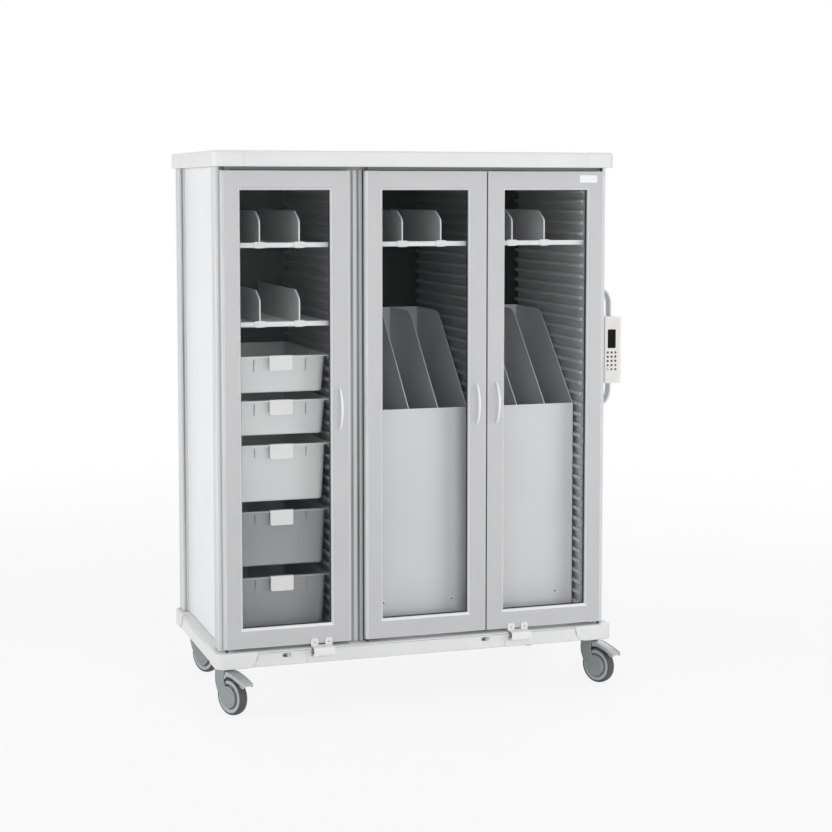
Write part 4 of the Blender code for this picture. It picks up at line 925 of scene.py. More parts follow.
# Distance of the rows that keep the flat faces flat, and the rows (beyond the bevel, depth) at its rim.
FACE_RING = 0.001
BEVEL_RIM = [(0.0016, 0.0), (0.0006, 0.0), (-0.0004, 0.0004)]
HINGE_SIDE = {"left": "left", "middle": "left", "right": "right"}


def door_thickness(name):
    """Thickness of a door frame."""
    low, high = box_of("door_frame_" + name)
    return high[1] - low[1]


def door_row(name, tuck, deep, inward=0.0):
    """Outer edge of a door at a depth behind its face, drawn in by tuck. The hinge side follows a half
    circle instead: it is drawn in by h - sqrt(h^2 - (depth - h)^2), where h is half the thickness."""
    low, high = box_of("door_frame_" + name)
    half = door_thickness(name) / 2
    nose = half - math.sqrt(max(half ** 2 - (deep - half) ** 2, 0.0))
    tucks = [nose if side == HINGE_SIDE[name] else tuck for side in ("left", "low", "right", "high")]
    left, bottom, right, top = np.array(tucks) + inward
    edges = (low[0] + left, low[2] + bottom, high[0] - right, high[2] - top)
    return stood(oblong(*edges, DOOR_CORNER), low[1] + deep, "y")


def window_row(name, grow, deep):
    """Edge of a door's window at a depth behind the door's face, drawn out by grow. The pane, which laps
    into its groove, gives the window's place."""
    low, high = box_of("door_pane_" + name)
    spread = grow - PANE_LAP
    edges = (low[0] - spread, low[2] - spread, high[0] + spread, high[2] + spread)
    return stood(oblong(*edges, WINDOW_CORNER), box_of("door_frame_" + name)[0][1] + deep, "y")


def make_door(name):
    """Frame: back of the window, back face, outer edge from back to front, front face, bevel. The outer
    edge is a quarter round at both faces: over is how far a row lies inside one of them."""
    thick = door_thickness(name)
    half = thick / 2
    deeps = half + half * np.cos(np.linspace(0, np.pi, EDGE_ROWS))
    over = np.clip(np.abs(deeps - half) - half + DOOR_SOFT, 0, None)
    tucks = DOOR_SOFT - np.sqrt(np.clip(DOOR_SOFT ** 2 - over ** 2, 0, None))
    back = [(0, WINDOW_BEVEL), (0, thick - FACE_RING), (FACE_RING, thick), (2 * FACE_RING, thick)]
    rows = [window_row(name, *place) for place in back]
    rows.append(door_row(name, DOOR_SOFT, thick, FACE_RING))
    rows += [door_row(name, tuck, deep) for tuck, deep in zip(tucks, deeps)]
    front_edge = len(rows)
    rows.append(door_row(name, DOOR_SOFT, 0.0, FACE_RING))
    rows += [window_row(name, WINDOW_BEVEL + grow, deep) for grow, deep in BEVEL_RIM]
    # Painted highlight: the rows of the outer edge next to the front face take the lighter tone.
    painted_light = np.zeros((len(rows), 1))
    painted_light[front_edge - PAINTED_HIGHLIGHT_ROWS:front_edge] = 1
    piece("door_leaf_" + name, [woven(np.stack(rows), loop=True, painted_light=painted_light)], DOOR_LACQUER, "door_" + name,
          ["door_frame_" + name])


for door_name in HINGE_SIDE:
    make_door(door_name)
coated(["door_rod_left", "door_rod_middle", "door_rod_right"], DARK_STEEL)

# %% [markdown]
# ## Window trim and seals
# A bead lies on the bevel round each window, in a paler tone than the door as a painted highlight; its
# lower side is a wider sill, whiter still as a painted highlight, and a dark gasket holds the pane from
# behind. All three could be textures on the frame, but as thin strips of their own they catch the light as
# the real ones do. They use the window's rows again, with a small section.

# %% Beads, sills and gaskets
# Sections as (out from the window's edge, depth behind the door's face).
BEAD_SECTION = [(0.0056, 0.0017), (0.0002, 0.0071), (0.0002, 0.0080), (0.0064, 0.0018)]
SILL_SECTION = [(0.0073, 0.0001), (0.0002, 0.0071), (0.0002, 0.0080), (0.0077, 0.0003)]
GASKET_LAP, GASKET_TUCK = -0.0020, 0.0003
GASKET_FRONT, GASKET_BACK = 0.0134, 0.0004
# The points of a row from the middle of its lower left corner to the middle of its lower right one.
SILL_POINTS = slice(3, 9)


def make_trim(name):
    """The bead runs round all but the lower side, where the sill lies, and the gasket all round."""
    body = "door_" + name
    around = np.stack([window_row(name, *place) for place in BEAD_SECTION]).swapaxes(0, 1)
    length = len(around) - SILL_POINTS.stop + SILL_POINTS.start + 2
    upper = np.roll(around, 1 - SILL_POINTS.stop, 0)[:length]
    piece("window_bead_" + name, [woven(upper)], BEVEL_PAINTED_HIGHLIGHT, body)
    # Painted highlight: the sill on the upward-facing lower bevel takes the whitest finish.
    sill = np.stack([window_row(name, *place) for place in SILL_SECTION]).swapaxes(0, 1)[SILL_POINTS]
    piece("window_sill_painted_highlight_" + name, [woven(sill)], LABEL_WHITE, body)
    back = door_thickness(name) - GASKET_BACK
    section = [(GASKET_LAP, GASKET_FRONT), (GASKET_LAP, back), (GASKET_TUCK, back),
               (GASKET_TUCK, GASKET_FRONT)]
    gasket = np.stack([window_row(name, *place) for place in section])
    piece("pane_gasket_" + name, [woven(gasket, loop=True)], GASKET_DARK, body)


for door_name in HINGE_SIDE:
    make_trim(door_name)
coated(["door_pane_left", "door_pane_middle", "door_pane_right"], PANE_CLEAR)

# %% Door seals and a painted shadow
TOP_SEAL_RISE, TOP_SEAL_DEPTH = (0.0015, 0.0116), (0.0240, 0.0276)
# Section of a dark strip of painted shadow that hugs the soft edge of the right door, from its lower front
# left corner.
MEETING_SHADOW_SECTION = [(0.0001, 0.0035), (0.0008, 0.0008), (0.0035, 0.0001), (0.0035, 0.0012),
                   (0.0015, 0.0018), (0.0012, 0.0035)]
MEETING_SHADOW_END = 0.004


def make_seals():
    """A strip under the cover behind all doors, and a dark strip of painted shadow along the soft edge
    where two doors meet, for the shade in the gap between them.
    """
    low, high = box_of("door_frame_right")
    strip = oblong(LEFT, high[2] + TOP_SEAL_RISE[0], RIGHT, high[2] + TOP_SEAL_RISE[1], radius=0.002)
    seal_and_shadow = slab(strip, "y", FRONT + TOP_SEAL_DEPTH[0], FRONT + TOP_SEAL_DEPTH[1], edge=0.0006)
    piece("top_seal", [seal_and_shadow], SEAL_GREY, "cabinet")
    # Painted shadow: a dark strip stands for the shade in the gap where two doors meet.
    seal_and_shadow = slab(low[:2] + MEETING_SHADOW_SECTION, "z", low[2] + MEETING_SHADOW_END, high[2] - MEETING_SHADOW_END, edge=0.0002)
    piece("meeting_gap_painted_shadow", [seal_and_shadow], GASKET_DARK, "door_right")


make_seals()

# %% [markdown]
# ## Door handles
# A bow handle is a slim oval bar that rises from the door in one arch and is thickest in the middle. A
# curve object with a bevel would do; here an ellipse is carried along the arch so that its swell is exact.

# %% Door handles
HANDLE_ARCH = 1.5
HANDLE_END_SHARE = 0.8
HANDLE_HALF_WIDTH, HANDLE_HALF_DEPTH = 0.0040, 0.0036
HANDLE_POINTS = 49


def make_handle(name):
    """Arch at turn t: height -half cos t, reach rise sin(t)^1.5; the ellipse swells with sin t."""
    low, high = box_of("door_handle_" + name)
    half = (high[2] - low[2]) / 2 - HANDLE_HALF_DEPTH
    rise = high[1] - low[1] - HANDLE_HALF_DEPTH
    turn = np.linspace(0, np.pi, HANDLE_POINTS)
    path = np.stack([np.full(HANDLE_POINTS, (low[0] + high[0]) / 2),
                     high[1] - rise * np.sin(turn) ** HANDLE_ARCH,
                     (low[2] + high[2]) / 2 - half * np.cos(turn)], 1)
    swell = HANDLE_END_SHARE + (1 - HANDLE_END_SHARE) * np.sin(turn)
    sections = swell[:, None, None] * oval(HANDLE_HALF_WIDTH, HANDLE_HALF_DEPTH, steps=24)
    piece("bow_handle_" + name, [swept(path, sections, (1, 0, 0))], BOW_WHITE, "door_" + name,
          ["door_handle_" + name], crease=60)


for door_name in HINGE_SIDE:
    make_handle(door_name)

# %% [markdown]
# ## Name plate and hasps
# The small plate in the corner of the right door is bare. Below the outer doors hang the hasps: two tabs
# screwed to the door carry a hollow block, open on its left, that the lock's bolt runs into. The block
# could be a box with a hole cut in; rows that run over its outside and back along its inside need no cut.

# %% Bare plate
PLATE_LEFT, PLATE_LOW, PLATE_RIGHT, PLATE_HIGH = LEFT + 1.240, 1.751, LEFT + 1.304, 1.776
PLATE_THICKNESS = 0.0011

plate_outline = oblong(PLATE_LEFT, PLATE_LOW, PLATE_RIGHT, PLATE_HIGH, radius=0.002)
plate_shell = slab(plate_outline, "y", FRONT - PLATE_THICKNESS, FRONT, edge=0.0004)
piece("bare_plate", [plate_shell], LABEL_WHITE, "door_right")

# %% Hasps
HASP_TOP, HASP_BACK, HASP_WALL, HASP_SOFT = 0.230, 0.0015, 0.0045, 0.004
HASP_CORNERS = [0.006, 0.002, 0.002, 0.008]
HASP_MOUTH = 0.001
TAB_WIDTH, TAB_LAP, TAB_CORNER = 0.024, 0.012, 0.005
TAB_FRONT, TAB_BACK, TAB_EDGE = 0.006, 0.0003, 0.0015
TAB_SCREW, TAB_SCREW_DROP = 0.0040, 0.012


def make_hasp(name):
    """Block: a soft rectangle carried from its closed right end to its open left end and back inside."""
    low, high = box_of("hasp_" + name)
    left, right = low[0] + TAB_INSET, high[0] - TAB_INSET
    back = FRONT - HASP_BACK
    ring = softened([(low[1], low[2]), (back, low[2]), (back, HASP_TOP), (low[1], HASP_TOP)],
                    HASP_CORNERS, steps=6)
    places = [(2 * HASP_SOFT, right)]
    places += [(tuck, right - fall) for tuck, fall in quarter_round(HASP_SOFT)]
    places += [(0, left + HASP_MOUTH), (HASP_MOUTH, left)]
    places += [(HASP_WALL, left + HASP_MOUTH), (HASP_WALL, right - HASP_WALL)]
    rows = [stood(inset(ring, tuck), place, "x") for tuck, place in places]
    # Painted highlight: the whole block takes the finish's lighter tone, in patches.
    shells = [woven(np.stack(rows), painted_light=1.0)]
    screws = []
    for start in (left, right - TAB_WIDTH):
        tab = oblong(start, HASP_TOP - TAB_LAP, start + TAB_WIDTH, high[2], TAB_CORNER)
        shells.append(slab(tab, "y", FRONT - TAB_FRONT, FRONT - TAB_BACK, TAB_EDGE))
        spot = (start + TAB_WIDTH / 2, FRONT - TAB_FRONT, high[2] - TAB_SCREW_DROP)
        screws.append(screw(spot, (0, -1, 0), TAB_SCREW))
    piece("hasp_block_" + name, shells, MOULDED_WHITE, "door_" + name, ["hasp_" + name])
    piece("hasp_screws_" + name, screws, BRIGHT_STEEL, "door_" + name)


for lock_name in LOCKS:
    make_hasp(lock_name)

# %% [markdown]
# ## Locks
# In each recess sits a grey plate with two lobes. The right lobe holds the key cylinder, which turns, and
# the left one a blind plug. Two joined discs would show a crease between them, so the lobed outline is one
# curve: a circle whose centre slides from one lobe to the other.

# %% Locks
LOBE_GAP, LOBE_RADIUS, LOBE_WAIST = 0.0145, 0.0074, 0.0012
LOBE_FRONT, LOBE_BACK, LOBE_EDGE = 0.0022, 0.001, 0.0006
PLUG_FRONT, CYLINDER_FRONT = 0.0020, 0.0034
# Profiles as (radius, depth).
PLUG_PROFILE = [(0.0003, -0.0006), (0.0035, -0.0006), (0.0045, 0.0004), (0.0045, 0.003), (0.0003, 0.003)]
CYLINDER_PROFILE = [(0.0022, 0.0012), (0.0022, 0.0), (0.0052, 0.0), (0.0060, 0.0008), (0.0060, 0.0050),
                    (0.0022, 0.0050)]
SLOT_HALF_WIDTH, SLOT_HALF_HEIGHT = 0.0011, 0.0021
SLOT_FRONT, SLOT_BACK = 0.0010, 0.0030


def make_lock(name, cylinder):
    """Plate: a circle at turn t whose centre slides left by the lobes' distance times 0.5 - 1.2 cos t, kept
    between 0 and 1, and whose radius narrows a little at the waist. Plug, cylinder and key slot sit on
    it."""
    low, high = box_of("lock_cylinder_" + name)
    centre = np.array([LEFT + cylinder, (low[2] + high[2]) / 2])
    floor = base_low[1] + RECESS_DEPTH
    turn = np.linspace(0, 2 * np.pi, 48, endpoint=False)
    waist = LOBE_RADIUS - LOBE_WAIST * np.abs(np.sin(turn)) ** 6
    slide = LOBE_GAP * np.clip(0.5 - 1.2 * np.cos(turn), 0, 1)
    lobes = np.stack([waist * np.cos(turn) - slide, waist * np.sin(turn)], 1)
    plate = slab(centre + lobes, "y", floor - LOBE_FRONT, floor + LOBE_BACK, LOBE_EDGE)
    piece("lock_plate_" + name, [plate], LOCK_GREY, "cabinet")
    plug_at = (centre[0] - LOBE_GAP, floor - PLUG_FRONT, centre[1])
    plug = turned(PLUG_PROFILE, plug_at, (0, 1, 0), steps=24)
    piece("lock_plug_" + name, [plug], DARK_STEEL, "cabinet")
    face = floor - CYLINDER_FRONT
    rim = turned(CYLINDER_PROFILE, (centre[0], face, centre[1]), (0, 1, 0), closed=True)
    piece("key_cylinder_" + name, [rim], HANDLE_GREY, "key_" + name, ["lock_cylinder_" + name])
    mouth = oblong(centre[0] - SLOT_HALF_WIDTH, centre[1] - SLOT_HALF_HEIGHT,
                   centre[0] + SLOT_HALF_WIDTH, centre[1] + SLOT_HALF_HEIGHT, radius=0.0008)
    slot = slab(mouth, "y", face + SLOT_FRONT, face + SLOT_BACK, edge=0.0002)
    piece("key_slot_" + name, [slot], SCREEN_BLACK, "key_" + name)


for lock_name, (_, cylinder_place, _) in LOCKS.items():
    make_lock(lock_name, cylinder_place)
coated(["lock_bolt_left", "lock_bolt_right"], BRIGHT_STEEL)

# %% [markdown]
# ## Casters
# A caster has a swivel crown, a fork with two cheeks, and a wheel: a hub with a raised side ring and a
# dark rounded tyre around it. Each cheek is a broad strap that ends in a round cover over the hub.
# Cylinders and boxes would look like a toy, so round parts are turned from profiles, and the cheeks and
# the pedal are soft-edged slabs. They are worked out with the wheel trailing along -y and then turned
# about the swivel.

# %% Wheel profiles
WHEEL_RADIUS = 0.0625
TRAIL = 0.040
AXLE = (0.0, -TRAIL, WHEEL_RADIUS)
# Half profile as (radius, distance from the wheel's middle): disc, deep groove, side ring, tyre seat.
HUB_HALF = [(0.0068, 0.0142), (0.0340, 0.0142), (0.0350, 0.0050), (0.0408, 0.0050), (0.0416, 0.0144),
            (0.0424, 0.0152), (0.0470, 0.0158), (0.0524, 0.0154), (0.0540, 0.0146), (0.0540, 0.0120)]
TYRE_SEAT = [(0.0535, 0.0120), (0.0535, 0.0150)]
TYRE_CROWN = [(0.0621, 0.0060), (WHEEL_RADIUS, 0.0)]
TYRE_SHOULDER, TYRE_BULGE = (0.0545, 0.0100), (0.0065, 0.0058)


def hub_profile():
    """Half of the hub from its bore out to the rim, and its mirror image back."""
    half = np.array(HUB_HALF)
    return np.vstack([half, (half * [1, -1])[::-1]])


def tyre_profile():
    """Tread: from the hub's rim the sidewall bulges out in a quarter ellipse and rounds over to a slightly
    crowned tread; the mirror image follows."""
    turn = np.linspace(0, np.pi / 2, 8)
    side = np.array(TYRE_SHOULDER) + np.array(TYRE_BULGE) * np.stack([np.sin(turn), np.cos(turn)], 1)
    half = np.vstack([TYRE_SEAT, side, TYRE_CROWN])
    return np.vstack([half, (half * [1, -1])[-2::-1]])


print("wheel:", len(hub_profile()), "points in the hub's profile,", len(tyre_profile()), "in the tyre's")

# %% Forks
# Crown as (radius, height), and the others as (y, height) with the swivel at y = 0.
CROWN_PROFILE = [(0.001, 0.1727), (0.0290, 0.1727), (0.0300, 0.1717), (0.0300, 0.1660), (0.0290, 0.1645),
                 (0.0255, 0.1630), (0.0245, 0.1600), (0.0255, 0.1570), (0.0290, 0.1550), (0.0298, 0.1540),
                 (0.0298, 0.1490), (0.0280, 0.1470), (0.001, 0.1470)]
AXLE_PROFILE = [(0.0004, -0.0190), (0.0058, -0.0190), (0.0058, 0.0190), (0.0004, 0.0190)]
BRIDGE_LOW, BRIDGE_HIGH = 0.1300, 0.1500
BRIDGE_BACK, BRIDGE_BACK_TOP = 0.022, 0.021
BRIDGE_FRONT, BRAKED_BRIDGE_FRONT = -0.022, -0.013
CHEEK_LEG = [(0.0220, 0.1485), (0.0235, 0.1250), (0.0225, 0.1040), (0.0140, 0.0810)]
CHEEK_HEEL = [(-0.0215, 0.1100), (-0.0230, 0.1485)]
CHEEK_INNER, CHEEK_OUTER = 0.0180, 0.0235
HUB_COVER, COVER_TURN, COVER_POINTS = 0.0365, (-10, -290), 29


def fork_shells(braked):
    """Crown, bridge, two cheeks and the axle; with a brake the bridge is cut back for the pedal. A cheek's
    outline goes down the leg, round the hub cover's circle and up the heel."""
    crown = turned(CROWN_PROFILE, (0, 0, 0), (0, 0, 1), steps=36)
    front = BRAKED_BRIDGE_FRONT if braked else BRIDGE_FRONT
    block = softened([(front, BRIDGE_LOW), (BRIDGE_BACK, BRIDGE_LOW), (BRIDGE_BACK_TOP, BRIDGE_HIGH),
                      (front, BRIDGE_HIGH)], radius=0.003)
    bridge = slab(block, "x", -CHEEK_INNER, CHEEK_INNER, edge=0.001)
    turn = np.radians(np.linspace(*COVER_TURN, COVER_POINTS))
    cover = AXLE[1:] + HUB_COVER * np.stack([np.cos(turn), np.sin(turn)], 1)
    cheek = softened(np.vstack([CHEEK_LEG, cover, CHEEK_HEEL]), radius=0.0024, steps=4)
    cheeks = [slab(cheek, "x", low, high, edge=0.0018)
              for low, high in ((-CHEEK_OUTER, -CHEEK_INNER), (CHEEK_INNER, CHEEK_OUTER))]
    return [crown, bridge, *cheeks, turned(AXLE_PROFILE, AXLE, (1, 0, 0), steps=20)]


print("a fork has", len(fork_shells(True)), "shells")

# %% Brake pedals
# Outlines as (y, height), each with the radius of its corners.
LEVER = [(-0.0175, 0.1375), (-0.0175, 0.1448), (-0.0450, 0.1445), (-0.0900, 0.1300), (-0.1222, 0.1135),
         (-0.1205, 0.1085), (-0.0850, 0.1190), (-0.0450, 0.1345)]
LEVER_CORNERS = [0.002, 0.002, 0.012, 0.012, 0.002, 0.002, 0.010, 0.010]
SKIRT = [(-0.0260, 0.1285), (-0.0260, 0.1450), (-0.0460, 0.1458), (-0.0905, 0.1320), (-0.1228, 0.1170),
         (-0.1215, 0.1045), (-0.1080, 0.1050), (-0.0850, 0.1190), (-0.0565, 0.1285)]
SKIRT_CORNERS = [0.002, 0.003, 0.010, 0.010, 0.003, 0.003, 0.004, 0.008, 0.008]
LEVER_HALF, SKIRT_INNER, SKIRT_OUTER, TREAD_HALF = 0.0172, 0.0168, 0.0205, 0.0125
TREADS, TREAD_HALF_DEPTH, TREAD_SUNK, TREAD_RISE = (0.100, 0.110), 0.0012, 0.0030, 0.0008
LEVER_TIP, LEVER_TIP_HEIGHT, LEVER_FALL = 0.0900, 0.1300, 0.512


def pedal_shells():
    """Brake pedal: a curved plate between two side skirts, with two treads across it near its tip. A tread
    lies on the straight fall of the lever's end."""
    lever = softened(LEVER, LEVER_CORNERS, steps=6)
    shells = [slab(lever, "x", -LEVER_HALF, LEVER_HALF, edge=0.0012)]
    skirt = softened(SKIRT, SKIRT_CORNERS)
    for low, high in ((-SKIRT_OUTER, -SKIRT_INNER), (SKIRT_INNER, SKIRT_OUTER)):
        shells.append(slab(skirt, "x", low, high, edge=0.0014))
    for place in TREADS:
        top = LEVER_TIP_HEIGHT - (place - LEVER_TIP) * LEVER_FALL
        tread = oblong(-place - TREAD_HALF_DEPTH, top - TREAD_SUNK, -place + TREAD_HALF_DEPTH,
                       top + TREAD_RISE, radius=0.0008)
        shells.append(slab(tread, "x", -TREAD_HALF, TREAD_HALF, edge=0.0005))
    return shells


print("a pedal has", len(pedal_shells()), "shells")

# %% Casters in place
CASTER_TURN = math.radians(27.0)
CASTER_SPIN = np.array([[math.cos(CASTER_TURN), math.sin(CASTER_TURN), 0],
                        [-math.sin(CASTER_TURN), math.cos(CASTER_TURN), 0], [0, 0, 1]])
# Swivels from the doors' left edge and face.
CASTERS = {"front_left": (0.022, 0.100), "front_right": (1.334, 0.100),
           "rear_left": (0.050, 0.665), "rear_right": (1.2854, 0.665)}


def steered(shells, swivel):
    """Turns shells about z and moves them to their swivel."""
    return [(shell[0] @ CASTER_SPIN + swivel, *shell[1:]) for shell in shells]


def make_caster(name, across, depth):
    """Fork on the swivel body, hub and tyre on the wheel body, pedal on its own body at the front."""
    swivel = (LEFT + across, FRONT + depth, 0)
    braked = name.startswith("front")
    piece("fork_" + name, steered(fork_shells(braked), swivel), CASTER_GREY, "swivel_" + name,
          ["caster_fork_" + name])
    hub = turned(hub_profile(), AXLE, (1, 0, 0), steps=64, closed=True)
    tyre = turned(tyre_profile(), AXLE, (1, 0, 0), steps=64, closed=True)
    piece("hub_" + name, steered([hub], swivel), RIM_GREY, "wheel_" + name)
    piece("tyre_" + name, steered([tyre], swivel), TYRE_RUBBER, "wheel_" + name,
          ["caster_wheel_" + name])
    if braked:
        piece("pedal_" + name, steered(pedal_shells(), swivel), PEDAL_PAINTED_HIGHLIGHT, "pedal_" + name,
              ["caster_pedal_" + name])


for caster_name, caster_place in CASTERS.items():
    make_caster(caster_name, *caster_place)

# %% [markdown]
# ## Push handle and keypad
# The push handle is a broad band bent into a bow on the right front post. A bent and thickened strip would
# do; a soft rectangle carried along the bow keeps its width and its round edges everywhere. In front of it
# sits the keypad: a soft-edged housing, a membrane, a dark screen and three columns of small domed keys.

# %% Push handle
BAND_THICKNESS, BAND_EDGE = 0.0075, 0.0032
BOW_CURVE = 0.058


def make_push_handle():
    """Bow: a quarter ellipse out from the post, a straight run, and a quarter ellipse back."""
    low, high = box_of("push_handle")
    reach, rise = high[0] - low[0] - BAND_THICKNESS / 2, BOW_CURVE - BAND_THICKNESS / 2
    turn = np.linspace(0, np.pi / 2, 16)
    bottom, top = low[2] + BOW_CURVE, high[2] - BOW_CURVE
    lower = np.stack([low[0] + reach * np.sin(turn), bottom - rise * np.cos(turn)], 1)
    upper = np.stack([low[0] + reach * np.cos(turn), top + rise * np.sin(turn)], 1)
    path = stood(np.vstack([lower, upper]), (low[1] + high[1]) / 2, "y")
    half = (high[1] - low[1]) / 2
    section = oblong(-half, -BAND_THICKNESS / 2, half, BAND_THICKNESS / 2, BAND_EDGE, steps=4)
    piece("push_bow", [swept(path, section, (0, 1, 0))], HANDLE_GREY, "cabinet",
          ["push_handle"], crease=50)


make_push_handle()

# %% Keypad
CASE_INSET, CASE_START, CASE_CORNER, CASE_EDGE = 0.004, 0.0006, 0.006, 0.003
SHEET_LEFT, SHEET_RIGHT, SHEET_ENDS = 0.0035, 0.0085, 0.006
SHEET_FRONT, SHEET_BACK, SCREEN_FRONT, SCREEN_BACK = 0.0001, 0.0016, -0.0003, 0.0012
KEYPAD_MIDDLE = RIGHT + 0.0396
SCREEN_HALF, SCREEN_LOW, SCREEN_HIGH = 0.0150, 1.182, 1.247
KEY_PITCH, ROW_PITCH, KEY_TOP_ROW = 0.0143, 0.0146, 1.167
KEY_PROFILE = [(0.0003, 0.0006), (0.0020, 0.0005), (0.0037, 0.0002), (0.0046, -0.0004), (0.0046, -0.0012),
               (0.0003, -0.0012)]
KEY_ROWS = ["dark dark dark", "dark dark dark", "dark dark dark", "blue dark blue", "pale blue blue"]
KEY_COATS = {"dark": KEY_DARK, "blue": KEY_BLUE, "pale": KEY_PALE}


def make_keypad():
    """Housing with soft edges, membrane, dark screen and domed keys sorted by their colour."""
    low, high = box_of("keypad_housing")
    front, right = low[1], high[0] - CASE_INSET
    case = oblong(low[0], low[2], right, high[2], CASE_CORNER)
    shell = slab(case, "y", front + CASE_START, high[1], CASE_EDGE, steps=5)
    piece("keypad_case", [shell], KEYPAD_SHELL, "cabinet", ["keypad_housing"])
    sheet = oblong(low[0] + SHEET_LEFT, low[2] + SHEET_ENDS, right - SHEET_RIGHT, high[2] - SHEET_ENDS,
                   radius=0.003)
    membrane = slab(sheet, "y", front + SHEET_FRONT, front + SHEET_BACK, edge=0.0003)
    piece("keypad_membrane", [membrane], MEMBRANE, "cabinet", ["keypad_fascia"])
    glass = oblong(KEYPAD_MIDDLE - SCREEN_HALF, SCREEN_LOW, KEYPAD_MIDDLE + SCREEN_HALF, SCREEN_HIGH,
                   radius=0.002)
    screen = slab(glass, "y", front + SCREEN_FRONT, front + SCREEN_BACK, edge=0.0004)
    piece("keypad_screen", [screen], SCREEN_BLACK, "cabinet")
    keys = {tint: [] for tint in KEY_COATS}
    for row, tints in enumerate(KEY_ROWS):
        for column, tint in enumerate(tints.split()):
            spot = (KEYPAD_MIDDLE + (column - 1) * KEY_PITCH, front, KEY_TOP_ROW - row * ROW_PITCH)
            keys[tint].append(turned(KEY_PROFILE, spot, (0, -1, 0), steps=16))
    for tint, coat in KEY_COATS.items():
        piece("keypad_keys_" + tint, keys[tint], coat, "cabinet")


make_keypad()

# %% [markdown]
# ## Shelves
# A shelf is a thin plate folded up at the front and back. Two upright dividers stand on it, cut back in a
# slope at the top, and each is held by a clip pushed over the front lip. A bent sheet with Solidify would
# have one thickness everywhere; as slabs the plate, the lip and the clips each have their own.

# %% Shelves
COLUMNS = {"left": 0.214, "middle": 0.712, "right": 1.102}
INSERT_FRONT, INSERT_BACK = FRONT + 0.090, FRONT + 0.635
SHELF_FRONT = FRONT + 0.0355
# Column of each shelf, and the places of its dividers from the column's middle.
SHELVES = {"shelf_left_top": ("left", (-0.0786, 0.0537)), "shelf_left_second": ("left", (-0.0786, 0.0537)),
           "shelf_middle": ("middle", (-0.0923, 0.0425)), "shelf_right": ("right", (-0.0932, 0.0236))}
SHEET, SHELF_HALF, SHELF_START = 0.004, 0.158, 0.002
LIP_HALF, LIP_RISE, LIP_HEIGHT = 0.170, 0.006, 0.016
WING_SIDES, WING_ENDS = ((-0.169, -0.156), (0.156, 0.169)), 0.010


def plate_shells(middle, top):
    """Plate with an upstand at the back carried along x, the wider front lip, and wings on the ribs."""
    front, back = SHELF_FRONT, INSERT_BACK
    under, lip_top = top - SHEET, top + LIP_RISE
    section = softened([(front + SHELF_START, under), (back, under), (back, lip_top),
                        (back - SHEET, lip_top), (back - SHEET, top), (front + SHELF_START, top)],
                       radius=0.0008, steps=3)
    lip = oblong(front, lip_top - LIP_HEIGHT, front + SHEET, lip_top, radius=0.0012, steps=3)
    shells = [slab(section, "x", middle - SHELF_HALF, middle + SHELF_HALF, edge=0.0004),
              slab(lip, "x", middle - LIP_HALF, middle + LIP_HALF, edge=0.0006)]
    for left, right in WING_SIDES:
        wing = oblong(middle + left, front + WING_ENDS, middle + right, back - WING_ENDS, radius=0.003)
        shells.append(slab(wing, "z", under, top, edge=0.0008))
    return shells


print("shelves:", ", ".join(SHELVES))

# %% Shelf dividers
DIVIDER_HEIGHT, DIVIDER_HALF, DIVIDER_BACK = 0.108, 0.0015, 0.030
DIVIDER_SUNK, SLOPE_START, SLOPE_END = 0.002, 0.077, 0.060
DIVIDER_CORNERS = [0.001, 0.001, 0.008, 0.012, 0.008]
# The bead's path up the front edge and over the slope, as (behind the shelf's front, above its top).
BEAD_PATH = np.array([(0.002, 0.008), (0.002, 0.040), (0.002, 0.068), (0.004, 0.0760), (0.010, 0.0815),
                      (0.030, 0.0920), (0.046, 0.1010), (0.056, 0.1050)])
BEAD_RADIUS = 0.0026
CLIP_HALF, CLIP_FLAT = 0.0195, 0.0135
CLIP_BELOW, CLIP_LOW_SIDE, CLIP_HIGH_SIDE, CLIP_ABOVE = 0.002, 0.004, 0.001, 0.003
CLIP_FRONT, CLIP_BACK = 0.003, 0.007


def divider_outline(top):
    """Upright sheet from the side, with the upper front corner cut back in a slope."""
    front, back = SHELF_FRONT + SHELF_START, INSERT_BACK - DIVIDER_BACK
    foot, head = top - DIVIDER_SUNK, top + DIVIDER_HEIGHT
    return softened([(front, foot), (back, foot), (back, head), (SHELF_FRONT + SLOPE_END, head),
                     (front, top + SLOPE_START)], DIVIDER_CORNERS, steps=6)


def clip_shell(x, top):
    """Clip over the front lip: a plate with all four corners cut off and softened."""
    lip_top = top + LIP_RISE
    lip_low = lip_top - LIP_HEIGHT
    low_flat, low_side = lip_low - CLIP_BELOW, lip_low + CLIP_LOW_SIDE
    high_side, high_flat = lip_top + CLIP_HIGH_SIDE, lip_top + CLIP_ABOVE
    outline = softened([(x - CLIP_HALF, low_side), (x - CLIP_FLAT, low_flat), (x + CLIP_FLAT, low_flat),
                        (x + CLIP_HALF, low_side), (x + CLIP_HALF, high_side), (x + CLIP_FLAT, high_flat),
                        (x - CLIP_FLAT, high_flat), (x - CLIP_HALF, high_side)], radius=0.002, steps=4)
    return slab(outline, "y", SHELF_FRONT - CLIP_FRONT, SHELF_FRONT + CLIP_BACK, edge=0.001)


